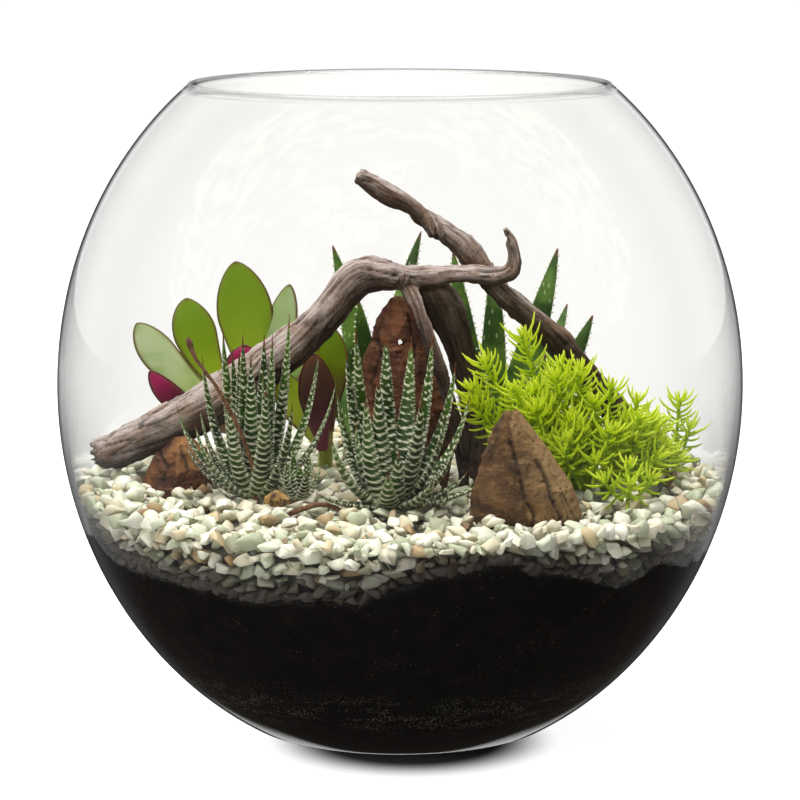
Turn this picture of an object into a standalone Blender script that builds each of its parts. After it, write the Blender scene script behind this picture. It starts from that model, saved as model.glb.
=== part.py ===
"""Glass bowl planted with succulents, driftwood, stones and pebbles. Metres, +Z up, base centre at the origin."""

import math
import random

import bmesh
import bpy
import numpy as np
from mathutils import Matrix, Vector, geometry, noise

MM = 0.001
GAP = 0.3 * MM  # between pieces that touch
POCKET_GAP = 0.45 * MM  # how far a cutter stands proud of the piece that sits in its pocket
MOST_SHARPNESS = 2.5  # how much further a cutter's sharp corners may go than its flat faces
GOLDEN_TURN = math.pi * (3 - math.sqrt(5))

# Bowl: an ellipse turned about Z, cut flat at the base and at the mouth
TURN_STEPS = 40  # facets round the bowl, a multiple of 4
BOWL_RADIUS = 150 * MM
BOWL_HEIGHT = 283 * MM
BELLY_LEVEL = 150 * MM  # level of the widest ring
BELLY_RISE = 167 * MM  # half height of the full ellipse
WALL = 3.5 * MM
FLOOR = 9 * MM  # thickness of the glass under the soil
LIP_ROUND = 1.4 * MM

# Fill
PEBBLE_TOP = 108 * MM  # mean level of the pebbles' tops
PEBBLE_COUNT = 97  # about twice life size, so that they cover the bed
PEBBLE_EDGE_BAND = 20 * MM  # width of the outermost part of the pattern, which turns down along the glass
PEBBLE_RIM = 3.5 * MM  # plain strip left at the pattern's outer edge
PEBBLE_JITTER = 2.6 * MM  # how far a pebble's centre wanders
PEBBLE_FLAT = 0.70  # share of a pebble's cell that its flat top takes
PEBBLE_TILT = 0.14  # steepest slope of a flat top
LOW_PEBBLE_DROP = 6 * MM  # round the roots
GROOVE = 4.5 * MM  # depth between pebbles
COVER = 3 * MM  # least thickness of pebbles over the soil
SOIL_MOUND = 92 * MM  # top of the soil in the middle
PATTERN_OVERRUN = 1.22  # pebble centres are laid this much past the count, so that the outer cells are closed
FARTHEST_CORNER = 1.1  # share of the pattern's radius past which a cell's corner is drawn in
ROOT_LEVEL = 88 * MM  # foot of the plants' roots, inside the soil
ROOT_SPOT_MARGIN = 22 * MM  # low pebbles reach this far past a root
ROOT_SIDES = 8
# Height of the line between soil and pebbles at the glass, by azimuth in degrees
SOIL_LINE = (
    (-180, 90), (-150, 86), (-120, 81), (-98, 83), (-82, 94), (-70, 96), (-60, 91),
    (-47, 84), (-38, 89), (-20, 85), (10, 88), (50, 86), (90, 90), (130, 86), (180, 90),
)  # fmt: skip


def clear_scene():
    for thing in list(bpy.data.objects):
        bpy.data.objects.remove(thing, do_unlink=True)


clear_scene()
PARTS = bpy.data.collections.new("Planted bowl")
CUTTERS = bpy.data.collections.new("Cutters")
bpy.context.scene.collection.children.link(PARTS)
bpy.context.scene.collection.children.link(CUTTERS)


def finish(name, color, roughness, transmission=0.0):
    material = bpy.data.materials.new(name)
    material.use_nodes = True
    shader = material.node_tree.nodes["Principled BSDF"]
    shader.inputs["Base Color"].default_value = (*color, 1.0)
    shader.inputs["Roughness"].default_value = roughness
    shader.inputs["Metallic"].default_value = 0.0
    shader.inputs["Transmission Weight"].default_value = transmission
    return material


CLEAR_GLASS = finish("Clear glass", (0.95, 0.97, 0.96), 0.02, 1.0)
DARK_SOIL = finish("Dark soil", (0.012, 0.008, 0.006), 0.95)
PALE_PEBBLE = finish("Pale pebble", (0.72, 0.75, 0.66), 0.55)
GREY_WOOD = finish("Grey driftwood", (0.23, 0.16, 0.11), 0.8)
RED_STONE = finish("Red stone", (0.30, 0.13, 0.07), 0.85)
BROWN_STONE = finish("Brown stone", (0.30, 0.17, 0.09), 0.8)
ORANGE_STONE = finish("Orange stone", (0.30, 0.10, 0.03), 0.8)
PADDLE_GREEN = finish("Paddle green", (0.18, 0.36, 0.04), 0.45)
BANDED_GREEN = finish("Banded green", (0.05, 0.11, 0.03), 0.5)
ALOE_GREEN = finish("Aloe green", (0.05, 0.14, 0.05), 0.5)
LIME_GREEN = finish("Lime green", (0.36, 0.55, 0.02), 0.5)
DRY_BROWN = finish("Dry brown", (0.16, 0.08, 0.04), 0.8)


# Making solids


def add_object(name, mesh, material):
    thing = bpy.data.objects.new(name, mesh)
    mesh.materials.clear()
    mesh.materials.append(material)
    PARTS.objects.link(thing)
    return thing


def mesh_from(work, name):
    """The bmesh as a triangulated mesh with its faces pointing out."""
    bmesh.ops.recalc_face_normals(work, faces=work.faces[:])
    bmesh.ops.triangulate(work, faces=work.faces[:])
    mesh = bpy.data.meshes.new(name)
    work.to_mesh(mesh)
    work.free()
    return mesh


def loft(name, rings, material):
    """One closed solid over a row of rings with the same number of points; a ring of one point is a tip."""
    work = bmesh.new()
    rows = [[work.verts.new(point) for point in ring] for ring in rings]
    for low, high in zip(rows, rows[1:]):
        count = max(len(low), len(high))
        for i in range(count):
            j = (i + 1) % count
            if len(low) == 1:
                work.faces.new((low[0], high[i], high[j]))
            elif len(high) == 1:
                work.faces.new((low[i], low[j], high[0]))
            else:
                work.faces.new((low[i], low[j], high[j]))
                work.faces.new((low[i], high[j], high[i]))
    for end in (rows[0], rows[-1]):
        if len(end) > 2:
            work.faces.new(end)
    return add_object(name, mesh_from(work, name), material)


def spline(points, steps):
    """Points and extra values along a smooth curve through the given rows, evenly by row."""
    rows = np.array(points, float)
    padded = np.vstack([2 * rows[0] - rows[1], rows, 2 * rows[-1] - rows[-2]])
    found = []
    for place in np.linspace(0, len(rows) - 1, steps):
        i = min(int(place), len(rows) - 2)
        t = place - i
        a, b, c, d = padded[i : i + 4]
        found.append(
            0.5 * (2 * b + (c - a) * t + (2 * a - 5 * b + 4 * c - d) * t**2 + (3 * b - a - 3 * c + d) * t**3)
        )
    return np.array(found)


def frames(points, side):
    """Each point with its direction, side and upper direction, the side carried along without twist."""
    found = []
    for i, point in enumerate(points):
        along = (points[min(i + 1, len(points) - 1)] - points[max(i - 1, 0)]).normalized()
        side = (side - along * side.dot(along)).normalized()
        found.append((point, along, side, side.cross(along)))
    return found


def wood_rings(rows, sides, seed, steps, flatness=1.0, grain=0.10):
    """Rings round a limb: rows of x, y, z and radius in mm. Ridges run along the limb and fade in and out."""
    smooth = spline(rows, steps)
    points = [Vector(row[:3]) * MM for row in smooth]
    rings = []
    for i, (point, _, side, up) in enumerate(frames(points, Vector((0, 1, 0)))):
        radius = smooth[i][3] * MM
        ring = []
        for k in range(sides):
            angle = math.tau * k / sides
            ridge = noise.noise(Vector((k * 2.7 + seed, i * 0.22, seed * 1.3)))
            swell = noise.noise(Vector((seed, i * 0.45, k * 0.2)))
            reach = radius * (1 + grain * 2.2 * ridge + grain * swell)
            ring.append(point + side * math.cos(angle) * reach * flatness + up * math.sin(angle) * reach)
        rings.append(ring)
    return rings


def evaluated_mesh(thing):
    bpy.context.view_layer.update()
    graph = bpy.context.evaluated_depsgraph_get()
    return bpy.data.meshes.new_from_object(thing.evaluated_get(graph), depsgraph=graph)


def largest_body(mesh):
    """Drops any loose scrap that a Boolean left beside the main body."""
    work = bmesh.new()
    work.from_mesh(mesh)
    bmesh.ops.remove_doubles(work, verts=work.verts[:], dist=0.002 * MM)
    bmesh.ops.triangulate(work, faces=work.faces[:])
    left = set(work.verts)
    bodies = []
    while left:
        body, queue = set(), [left.pop()]
        while queue:
            vert = queue.pop()
            body.add(vert)
            for edge in vert.link_edges:
                other = edge.other_vert(vert)
                if other in left:
                    left.discard(other)
                    queue.append(other)
        bodies.append(body)
    bodies.sort(key=len)
    scraps = [vert for body in bodies[:-1] for vert in body]
    bmesh.ops.delete(work, geom=scraps, context="VERTS")
    work.to_mesh(mesh)
    work.free()
    return mesh


def boolean(thing, operation, others):
    """Applies one Boolean of the thing with the others, and removes the others."""
    group = bpy.data.collections.new("Operands")
    bpy.context.scene.collection.children.link(group)
    for other in others:
        for home in list(other.users_collection):
            home.objects.unlink(other)
        group.objects.link(other)
    modifier = thing.modifiers.new("Boolean", "BOOLEAN")
    modifier.operation = operation
    modifier.operand_type = "COLLECTION"
    modifier.collection = group
    modifier.solver = "MANIFOLD"
    material = thing.data.materials[0]
    mesh = largest_body(evaluated_mesh(thing))
    thing.modifiers.clear()
    thing.data = mesh
    mesh.materials.clear()
    mesh.materials.append(material)
    for other in others:
        bpy.data.objects.remove(other, do_unlink=True)
    bpy.data.collections.remove(group)
    return thing


def fuse(name, pieces):
    """The pieces joined into one body."""
    body = boolean(pieces[0], "UNION", pieces[1:]) if len(pieces) > 1 else pieces[0]
    body.name = name
    return body


def copy_of(cutter):
    twin = bpy.data.objects.new(cutter.name, cutter.data.copy())
    CUTTERS.objects.link(twin)
    return twin


def grown_copy(thing, by=POCKET_GAP):
    """A cutter a little larger than the thing, for the pocket that it sits in."""
    work = bmesh.new()
    work.from_mesh(thing.data)
    bmesh.ops.remove_doubles(work, verts=work.verts[:], dist=0.01 * MM)
    work.normal_update()
    moves = [vert.normal * by * min(vert.calc_shell_factor(), MOST_SHARPNESS) for vert in work.verts]
    for vert, move in zip(work.verts, moves):
        vert.co += move
    mesh = bpy.data.meshes.new("Pocket")
    work.to_mesh(mesh)
    work.free()
    cutter = bpy.data.objects.new("Pocket", mesh)
    mesh.materials.append(thing.data.materials[0])
    cutter.hide_render = True
    cutter.display_type = "WIRE"
    CUTTERS.objects.link(cutter)
    return cutter


ROOT_POCKETS = []  # cutters for the holes that the plants stand in
ROOT_SPOTS = []  # x, y and reach of the low pebbles round each root


def round_plug(x, y, top, radius, taper, material):
    """A tapered round root, and the cutter for the hole that it stands in."""
    rings = []
    angles = [math.tau * k / ROOT_SIDES for k in range(ROOT_SIDES)]
    for level, reach in ((ROOT_LEVEL, radius * taper), (top, radius)):
        rings.append([Vector((x + reach * math.cos(a), y + reach * math.sin(a), level)) for a in angles])
    plug = loft("Plug", rings, material)
    ROOT_POCKETS.append(grown_copy(plug))
    ROOT_SPOTS.append((x, y, radius + ROOT_SPOT_MARGIN))
    return plug


# Bowl


def ellipse_radius(level, inset=0.0):
    rise = BELLY_RISE - inset
    return (BOWL_RADIUS - inset) * math.sqrt(max(0.0, 1 - ((level - BELLY_LEVEL) / rise) ** 2))


def wall_levels(low, high, inset, count):
    """Levels from low to high, evenly by the angle round the ellipse."""
    rise = BELLY_RISE - inset
    start = math.asin((low - BELLY_LEVEL) / rise)
    end = math.asin((high - BELLY_LEVEL) / rise)
    return [BELLY_LEVEL + rise * math.sin(start + (end - start) * i / (count - 1)) for i in range(count)]


LIP_LEVEL = BOWL_HEIGHT - LIP_ROUND
HEEL_LEVEL = 20 * MM  # where the inner wall starts to turn into the floor
OUTER_LEVELS = wall_levels(0, BELLY_LEVEL, 0, 6)[:-1] + wall_levels(BELLY_LEVEL, LIP_LEVEL, 0, 6)
INNER_LEVELS = wall_levels(HEEL_LEVEL, BELLY_LEVEL, WALL, 5)[:-1] + wall_levels(BELLY_LEVEL, LIP_LEVEL, WALL, 5)
OUTER_POINTS = [(ellipse_radius(z), z) for z in OUTER_LEVELS]
FLOOR_REACH = 44 * MM  # radius of the floor's flat middle
INNER_POINTS = [
    (0.0, FLOOR),
    (FLOOR_REACH, FLOOR),
    (64 * MM, FLOOR + 1.2 * MM),
    (78 * MM, FLOOR + 5 * MM),
] + [(ellipse_radius(z, WALL), z) for z in INNER_LEVELS]


def wall_inside(level, gap=GAP):
    """Radius of the fill at a level: the faceted inner wall less a gap."""
    levels = [point[1] for point in INNER_POINTS[1:]]
    radii = [point[0] for point in INNER_POINTS[1:]]
    return float(np.interp(level, levels, radii)) - gap


def glass_bowl():
    """A closed profile on the axis, up the inside, over the lip and down the outside, turned by a Screw."""
    inner_lip, outer_lip = INNER_POINTS[-1], OUTER_POINTS[-1]
    crown = [
        (inner_lip[0] + LIP_ROUND, BOWL_HEIGHT),
        (outer_lip[0] - LIP_ROUND, BOWL_HEIGHT),
    ]
    profile = INNER_POINTS + crown + OUTER_POINTS[::-1] + [(0.0, 0.0)]
    work = bmesh.new()
    verts = [work.verts.new((radius, 0, level)) for radius, level in profile]
    for a, b in zip(verts, verts[1:]):
        work.edges.new((a, b))
    mesh = bpy.data.meshes.new("glass_bowl")
    work.to_mesh(mesh)
    work.free()
    bowl = add_object("glass_bowl", mesh, CLEAR_GLASS)
    turn = bowl.modifiers.new("Turn", "SCREW")
    turn.steps = TURN_STEPS
    turn.render_steps = TURN_STEPS
    turn.use_merge_vertices = True
    turn.merge_threshold = 0.0001
    turn.use_smooth_shade = True
    return bowl


# Fill


def azimuths():
    return [math.tau * k / TURN_STEPS for k in range(TURN_STEPS)]


def soil_line(azimuth):
    degrees = math.degrees(azimuth)
    degrees = degrees - 360 if degrees > 180 else degrees
    at, heights = zip(*SOIL_LINE)
    return float(np.interp(degrees, at, heights)) * MM


def ring_at(level_of, gap=GAP):
    """A ring of the fill against the wall, with its level given by azimuth."""
    ring = []
    for azimuth in azimuths():
        level = level_of(azimuth)
        radius = wall_inside(level, gap)
        ring.append(Vector((radius * math.cos(azimuth), radius * math.sin(azimuth), level)))
    return ring


def soil():
    """The soil, shaped by the bowl, with a hole for each plant's root."""
    lowest = min(height for _, height in SOIL_LINE) * MM
    levels = [point[1] for point in INNER_POINTS[2:] if point[1] < lowest - 4 * MM]
    rings = [[Vector((0, 0, FLOOR + GAP))]]
    flat = [Vector((math.cos(a), math.sin(a), 0)) * FLOOR_REACH for a in azimuths()]
    rings.append([spot + Vector((0, 0, FLOOR + GAP)) for spot in flat])
    for level in levels:
        rings.append(ring_at(lambda _, level=level: level + GAP, 2 * GAP))
    rings.append(ring_at(soil_line))
    rings.append([Vector((0, 0, SOIL_MOUND))])
    body = loft("soil", rings, DARK_SOIL)
    return boolean(body, "DIFFERENCE", ROOT_POCKETS)


def soil_top(x, y):
    """Level of the soil under a point: it rises evenly from the line at the glass to the middle."""
    azimuth = math.atan2(y, x) % math.tau
    step = math.tau / TURN_STEPS
    before = math.floor(azimuth / step)
    share = azimuth / step - before
    line = soil_line(before * step) * (1 - share) + soil_line((before + 1) % TURN_STEPS * step) * share
    return line + (SOIL_MOUND - line) * (1 - min(1.0, math.hypot(x, y) / wall_inside(line)))


def pebble_cells(reach):
    """Pebbles as cells: a sunflower pattern of centres, and round each the corners that it shares."""
    chance = random.Random(21)
    centres = []
    for i in range(int(PEBBLE_COUNT * PATTERN_OVERRUN)):
        radius = reach * math.sqrt((i + 0.5) / PEBBLE_COUNT)
        angle = i * GOLDEN_TURN
        jitter = Vector((chance.uniform(-1, 1), chance.uniform(-1, 1))) * PEBBLE_JITTER
        centres.append(Vector((radius * math.cos(angle), radius * math.sin(angle))) + jitter)
    _, _, triangles, *_ = geometry.delaunay_2d_cdt(centres, [], [], 0, 1e-7)
    corners = []
    around = [[] for _ in centres]
    for triangle in triangles:
        a, b, c = (centres[i].to_3d() for i in triangle)
        middle = circle_centre(a, b, c)
        if middle.length > reach * FARTHEST_CORNER:
            middle = (a + b + c).to_2d() / 3
        corners.append(middle)
        for i in triangle:
            around[i].append(len(corners) - 1)
    return centres, corners, around


def circle_centre(a, b, c):
    """Centre of the circle through three points of the plane."""
    ab, ac = b - a, c - a
    turn = 2 * (ab.x * ac.y - ab.y * ac.x)
    x = (ac.y * ab.length_squared - ab.y * ac.length_squared) / turn
    y = (ab.x * ac.length_squared - ac.x * ab.length_squared) / turn
    return Vector((a.x + x, a.y + y))


def bed_point(spot, rise):
    """A point of the flat pattern on the bed: level in the middle, then down along the glass."""
    radius = spot.length
    azimuth = math.atan2(spot.y, spot.x) % math.tau
    over = (radius - clear_reach(PEBBLE_TOP)) / PEBBLE_EDGE_BAND
    if over <= 0:
        level = max(PEBBLE_TOP + rise, soil_top(spot.x, spot.y) + COVER)
        reach = min(radius, clear_reach(level))
    else:
        line = soil_line(azimuth) + 2.5 * GAP
        level = PEBBLE_TOP + (line - PEBBLE_TOP) * min(1.0, over)
        reach = clear_reach(level) + min(0.0, rise)
    return Vector((reach * math.cos(azimuth), reach * math.sin(azimuth), level))


def clear_reach(level):
    """Radius that stays clear of the flat facets of the glass at any azimuth."""
    return wall_inside(level, 1.7 * GAP) * math.cos(math.pi / TURN_STEPS)


def pebble_bed(sunk):
    """The pebbles as one relief: flat-topped stones with grooves between, down to the line of the soil."""
    chance = random.Random(4)
    full_reach = clear_reach(PEBBLE_TOP) + PEBBLE_EDGE_BAND
    centres, corners, around = pebble_cells(full_reach)
    flat, solid, edges = [], [], []

    def add(spot, rise):
        flat.append(spot)
        solid.append(bed_point(spot, rise))
        return len(flat) - 1

    rim_limit = full_reach - PEBBLE_RIM
    low = {}
    for centre, cell in zip(centres, around):
        if centre.length > rim_limit - 2 * MM or len(cell) < 4:
            continue
        cell = sorted(cell, key=lambda i: math.atan2(corners[i].y - centre.y, corners[i].x - centre.x))
        quiet = any(math.hypot(centre.x - a, centre.y - b) < r for a, b, r in ROOT_SPOTS)
        height = chance.uniform(-1.2, 1.0) * MM - (LOW_PEBBLE_DROP if quiet else 0)
        slope = Vector((chance.uniform(-1, 1), chance.uniform(-1, 1))) * PEBBLE_TILT
        loop = []
        for i in cell:
            corner = corners[i]
            if corner.length > rim_limit:
                corner = corner * (rim_limit / corner.length)
            if corners[i].length <= rim_limit and i not in low:
                low[i] = add(corner, -GROOVE)
            inner = centre + (corner - centre) * PEBBLE_FLAT
            loop.append(add(inner, height + slope.dot(inner - centre)))
        edges += list(zip(loop, loop[1:] + loop[:1]))
        edges += [(low[i], low[j]) for i, j in zip(cell, cell[1:] + cell[:1]) if i in low and j in low]
    rim = []
    for azimuth in azimuths():
        spot = Vector((math.cos(azimuth), math.sin(azimuth))) * full_reach
        flat.append(spot)
        level = soil_line(azimuth) + GAP
        reach = wall_inside(level)
        solid.append(Vector((reach * math.cos(azimuth), reach * math.sin(azimuth), level)))
        rim.append(len(flat) - 1)
    edges += list(zip(rim, rim[1:] + rim[:1]))
    _, _, faces, kept, *_ = geometry.delaunay_2d_cdt(flat, edges, [], 0, 1e-7)
    work = bmesh.new()
    verts = [work.verts.new(solid[source[0]]) for source in kept]
    place = {source[0]: i for i, source in enumerate(kept)}
    for face in faces:
        work.faces.new([verts[i] for i in face])
    middle = work.verts.new((0, 0, SOIL_MOUND + GAP))
    for a, b in zip(rim, rim[1:] + rim[:1]):
        work.faces.new((verts[place[a]], middle, verts[place[b]]))
    body = add_object("pebble_bed", mesh_from(work, "pebble_bed"), PALE_PEBBLE)
    pockets = [grown_copy(thing) for thing in sunk] + [copy_of(pocket) for pocket in ROOT_POCKETS]
    return boolean(body, "DIFFERENCE", pockets)


# Driftwood: rows of x, y, z and radius, in mm

ARM = (
    (-135, 2, 117.5, 6.5), (-129, 3, 119.5, 8.0), (-120, 4, 123.0, 8.6), (-105, 6, 129.5, 9.4),
    (-90, 7, 137.0, 9.8), (-71, 8, 148.0, 9.6), (-57, 8, 158.5, 9.0), (-45, 7, 167.5, 8.4),
    (-32, 6, 181.0, 7.6), (-24, 6, 191.5, 8.0), (-17, 6, 197.5, 7.8), (-8, 6, 197.8, 6.6),
    (2, 6, 196.5, 5.6), (13, 6, 197.0, 5.0), (24, 5, 198.0, 3.9), (35, 4, 197.8, 3.4),
    (43, 4, 197.8, 3.6), (48.5, 4, 200.5, 3.5), (50, 4, 206.5, 3.0), (48.8, 4, 213, 2.3), (46, 4, 219, 1.5),
)  # fmt: skip
WIDE_LEG = (
    (12, 8, 198, 6.0), (15, 11, 190, 8.6), (20, 15, 181, 8.8), (25, 17, 170, 7.6), (28, 18, 158, 6.2),
    (31, 18, 145, 5.0), (33, 18, 131, 4.6), (34, 18, 117, 4.6), (34, 18, 97, 4.2),
)  # fmt: skip
THIN_LEG = (
    (3, 4, 194, 4.0), (8, -2, 184, 3.6), (13, -7, 170, 3.2), (18, -9.5, 155, 3.0), (23.5, -10, 139, 3.0),
    (27, -10, 122, 3.2), (28, -10, 98, 2.8),
)  # fmt: skip
BRANCH = (
    (-18.5, 13.5, 241, 2.6), (-13, 13.5, 237.8, 4.2), (-6, 13.5, 233.6, 4.4), (4, 13.5, 228.2, 4.2),
    (13, 13.5, 221, 4.4), (24, 13, 213, 4.9), (31, 12.5, 206.5, 5.4), (37, 12.5, 197.5, 5.2),
    (45, 13.5, 188.5, 4.8), (56, 16, 179.0, 4.8), (70, 19, 166.5, 5.8), (79, 21, 155, 5.8),
    (89, 24, 143, 6.0), (99, 28, 131.5, 6.0), (108, 30, 120, 5.6), (115, 31, 109, 5.0), (119, 32, 101, 4.2),
)  # fmt: skip
BRANCH_NUB = ((12, 12.5, 222, 3.6), (14, 10.5, 217.5, 2.8), (15, 9.5, 214.5, 1.6))


def driftwood_arch():
    arm = loft("Arm", wood_rings(ARM, 8, 1.0, 30), GREY_WOOD)
    wide = loft("Wide leg", wood_rings(WIDE_LEG, 8, 5.0, 14, 0.55), GREY_WOOD)
    thin = loft("Thin leg", wood_rings(THIN_LEG, 6, 9.0, 11, 0.6), GREY_WOOD)
    return fuse("driftwood_arch", [arm, wide, thin])


def driftwood_branch():
    limb = loft("Limb", wood_rings(BRANCH, 8, 13.0, 26), GREY_WOOD)
    nub = loft("Nub", wood_rings(BRANCH_NUB, 6, 17.0, 4), GREY_WOOD)
    return fuse("driftwood_branch", [limb, nub])


# Stones: the outline of a flat-sided block, and rows of level, left, right, front and back in mm

BLOCK_OUTLINE = (
    (1.0, 0.1), (0.78, 0.8), (0.1, 1.0), (-0.7, 0.85), (-1.0, 0.1), (-0.62, -0.72), (-0.05, -1.0), (0.6, -0.6),
)  # fmt: skip
TALL_STONE = (
    (99, -16, 20, -4, 24), (108, -19, 23, -4.5, 25), (122, -20, 25, -4.5, 24), (138, -20, 25.5, -4, 22),
    (152, -19, 20.5, -3, 20), (160, -16.5, 17, -2, 18), (170, -13, 13, -1, 16), (179, -10.5, 10.5, 0, 15),
    (187, -3.5, 5, 4, 10),
)  # fmt: skip
FRONT_STONE = (
    (97, 36, 76, -92, -62), (107, 30.5, 78.5, -94, -60), (115, 30, 75.5, -92, -61),
    (124, 32, 69, -90, -63), (136, 35.5, 61, -86, -66), (145, 38, 54.5, -82, -69), (151.5, 42, 49, -78, -73),
)  # fmt: skip
LEFT_STONE = (
    (97, -112, -84, -14, 12), (104, -115, -81, -15, 14), (113, -113, -82, -15, 14),
    (121, -107, -86, -11, 12), (127, -101, -92, -4, 6),
)  # fmt: skip


def stone(name, levels, seed, material):
    """A block whose outline follows the given rows, roughened a little."""
    rings = []
    for level, left, right, front, back in levels:
        middle = Vector(((left + right) / 2, (front + back) / 2, 0))
        half = ((right - left) / 2, (back - front) / 2)
        ring = []
        for x, y in BLOCK_OUTLINE:
            rough = 1 + 0.16 * noise.noise(Vector((x * 2 + seed, y * 2, level * 0.06)))
            ring.append((middle + Vector((x * half[0] * rough, y * half[1] * rough, level))) * MM)
        rings.append(ring)
    return loft(name, rings, material)


# Leaves


def curve_to(base, knee, tip, steps):
    """Points of a quadratic arc from base to tip, pulled towards the knee."""
    found = []
    for i in range(steps):
        t = i / (steps - 1)
        found.append(base * (1 - t) ** 2 + knee * 2 * t * (1 - t) + tip * t * t)
    return found


def blade(points, widths, thicknesses, section, facing=None):
    """Rings of a leaf along its midrib, with the section's points given as shares of half width and thickness."""
    heading = points[-1] - points[0]
    outward = Vector((heading.x, heading.y, 0))
    side = facing if facing is not None else Vector((-outward.y, outward.x, 0)).normalized()
    rings = []
    for (point, _, across, up), width, thickness in zip(frames(points, side), widths, thicknesses):
        if width == 0:
            rings.append([point])
            continue
        rings.append([point + across * (a * width / 2) + up * (b * thickness / 2) for a, b in section])
    return rings


# Haworthias: the leaves' section, and their tips as x, y, z in mm

KEELED = ((1.0, 0.25), (0.0, -0.25), (-1.0, 0.25), (0.0, 1.0))
LEFT_TIPS = (
    (-93, -27, 130), (-97, -20, 145), (-86, -15, 165), (-77, -12, 176), (-68, -20, 175), (-59, -13, 174),
    (-48, -12, 183), (-35, -15, 168), (-27, -24, 158), (-73, -40, 152), (-57, -43, 156), (-88, -38, 140),
    (-46, -38, 148), (-64, -30, 168),
)  # fmt: skip
MIDDLE_TIPS = (
    (-52, -39, 124), (-46, -37, 129), (-39, -37, 128), (-34, -42, 123), (-40, -51, 121), (-49, -49, 121),
)  # fmt: skip
RIGHT_TIPS = (
    (-23, -36, 172), (-19, -30, 179), (-6, -28, 177), (5, -26, 175), (14, -32, 177), (9, -70, 155),
    (30, -38, 152), (29, -54, 122), (-29, -62, 138), (-5, -74, 124), (-35, -64, 114), (14, -72, 121),
    (24, -28, 164), (-9, -60, 163), (-27, -40, 155), (19, -56, 146),
)  # fmt: skip


def haworthia(name, heel, tips, width, core, steps=6):
    """A rosette of keeled leaves that go out and then turn up."""
    heel = Vector(heel) * MM
    pieces = [round_plug(heel.x, heel.y, heel.z + 4 * MM, core, 0.55, BANDED_GREEN)]
    for row in tips:
        tip = Vector(row) * MM
        out = tip - heel
        flat = Vector((out.x, out.y, 0))
        root = heel + flat.normalized() * min(core * 0.45, flat.length * 0.3) + Vector((0, 0, 0.5 * MM))
        knee = heel + flat * 0.78 + Vector((0, 0, out.z * 0.34))
        points = curve_to(root, knee, tip, steps)
        widths = [width * (1 - (i / (steps - 1)) ** 2) for i in range(steps)]
        thicknesses = [0.55 * across for across in widths]
        pieces.append(loft("Leaf", blade(points, widths, thicknesses, KEELED), BANDED_GREEN))
    return fuse(name, pieces)


# Paddle plants: a stem with thick round-ended leaves, given by foot, tip, width and a knee offset in mm

LENS = ((1.0, 0.0), (0.55, 0.85), (-0.55, 0.85), (-1.0, 0.0), (-0.55, -0.85), (0.55, -0.85))
PADDLE_SHAPE = ((0.0, 0.30), (0.16, 0.42), (0.38, 0.76), (0.62, 1.0), (0.82, 0.90), (0.94, 0.56), (1.0, 0.16))
PADDLE_THICKNESS = 3.2 * MM
LEFT_STEM = ((-74, 46, 92, 4), (-74, 46, 115, 3.6), (-73, 46, 140, 3.0))  # x, y, z and radius
RIGHT_STEM = ((-34, 44, 92, 4), (-34, 44, 108, 3.4), (-33, 43, 128, 2.8))
LEFT_PADDLES = (
    ((-78, 44, 130), (-119, 40, 172), 17, (-12, 0, 2), 0.45),
    ((-77, 46, 134), (-97, 50, 182), 20, (-8, 0, 4), 0.2),
    ((-72, 48, 134), (-75, 56, 198), 26, (0, 4, 0), -0.1),
    ((-68, 47, 132), (-50, 52, 188), 17, (5, 0, -2), -0.5),
    ((-78, 42, 124), (-113, 34, 151), 15, (-8, 0, -4), 0.35),
    ((-72, 40, 136), (-69, 27, 164), 17, (0, -6, 0), 0.0),
    ((-76, 42, 122), (-101, 30, 140), 12, (-6, 0, -3), 0.3),
    ((-66, 50, 128), (-48, 74, 160), 18, (4, 6, -2), 0.0),
    ((-78, 52, 128), (-98, 76, 158), 18, (-5, 6, -2), 0.0),
)
RIGHT_PADDLES = (
    ((-33, 42, 122), (-33, 34, 173), 20, (0, -3, 0), 0.1),
    ((-35, 40, 114), (-39, 28, 160), 17, (0, -5, -2), 0.2),
    ((-33, 46, 118), (-38, 64, 152), 16, (0, 3, -2), -0.2),
    ((-37, 43, 116), (-54, 52, 148), 15, (-3, 3, -2), 0.0),
)


def paddle_plant(name, stem_rows, leaves):
    stem = loft("Stem", wood_rings(stem_rows, 8, 3.0, 6, 1.0, 0.02), PADDLE_GREEN)
    ROOT_POCKETS.append(grown_copy(stem))
    pieces = [stem]
    for foot, tip, width, knee, turn in leaves:
        foot, tip = Vector(foot) * MM, Vector(tip) * MM
        middle = (foot + tip) / 2 + Vector(knee) * MM
        smooth = curve_to(foot, middle, tip, 101)
        points = [smooth[round(100 * place)] for place, _ in PADDLE_SHAPE]
        widths = [width * MM * share for _, share in PADDLE_SHAPE]
        thicknesses = [PADDLE_THICKNESS * (0.55 + 0.45 * share) for _, share in PADDLE_SHAPE]
        heading = (tip - foot).normalized()
        across = (Vector((1, 0, 0)) - heading * heading.x).normalized()
        rings = blade(points, widths, thicknesses, LENS, Matrix.Rotation(turn, 3, heading) @ across)
        pieces.append(loft("Paddle", rings, PADDLE_GREEN))
    return fuse(name, pieces)


# Aloes: channelled leaves whose edges step out and in as teeth; foot, tip, width and knee offset in mm

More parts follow.
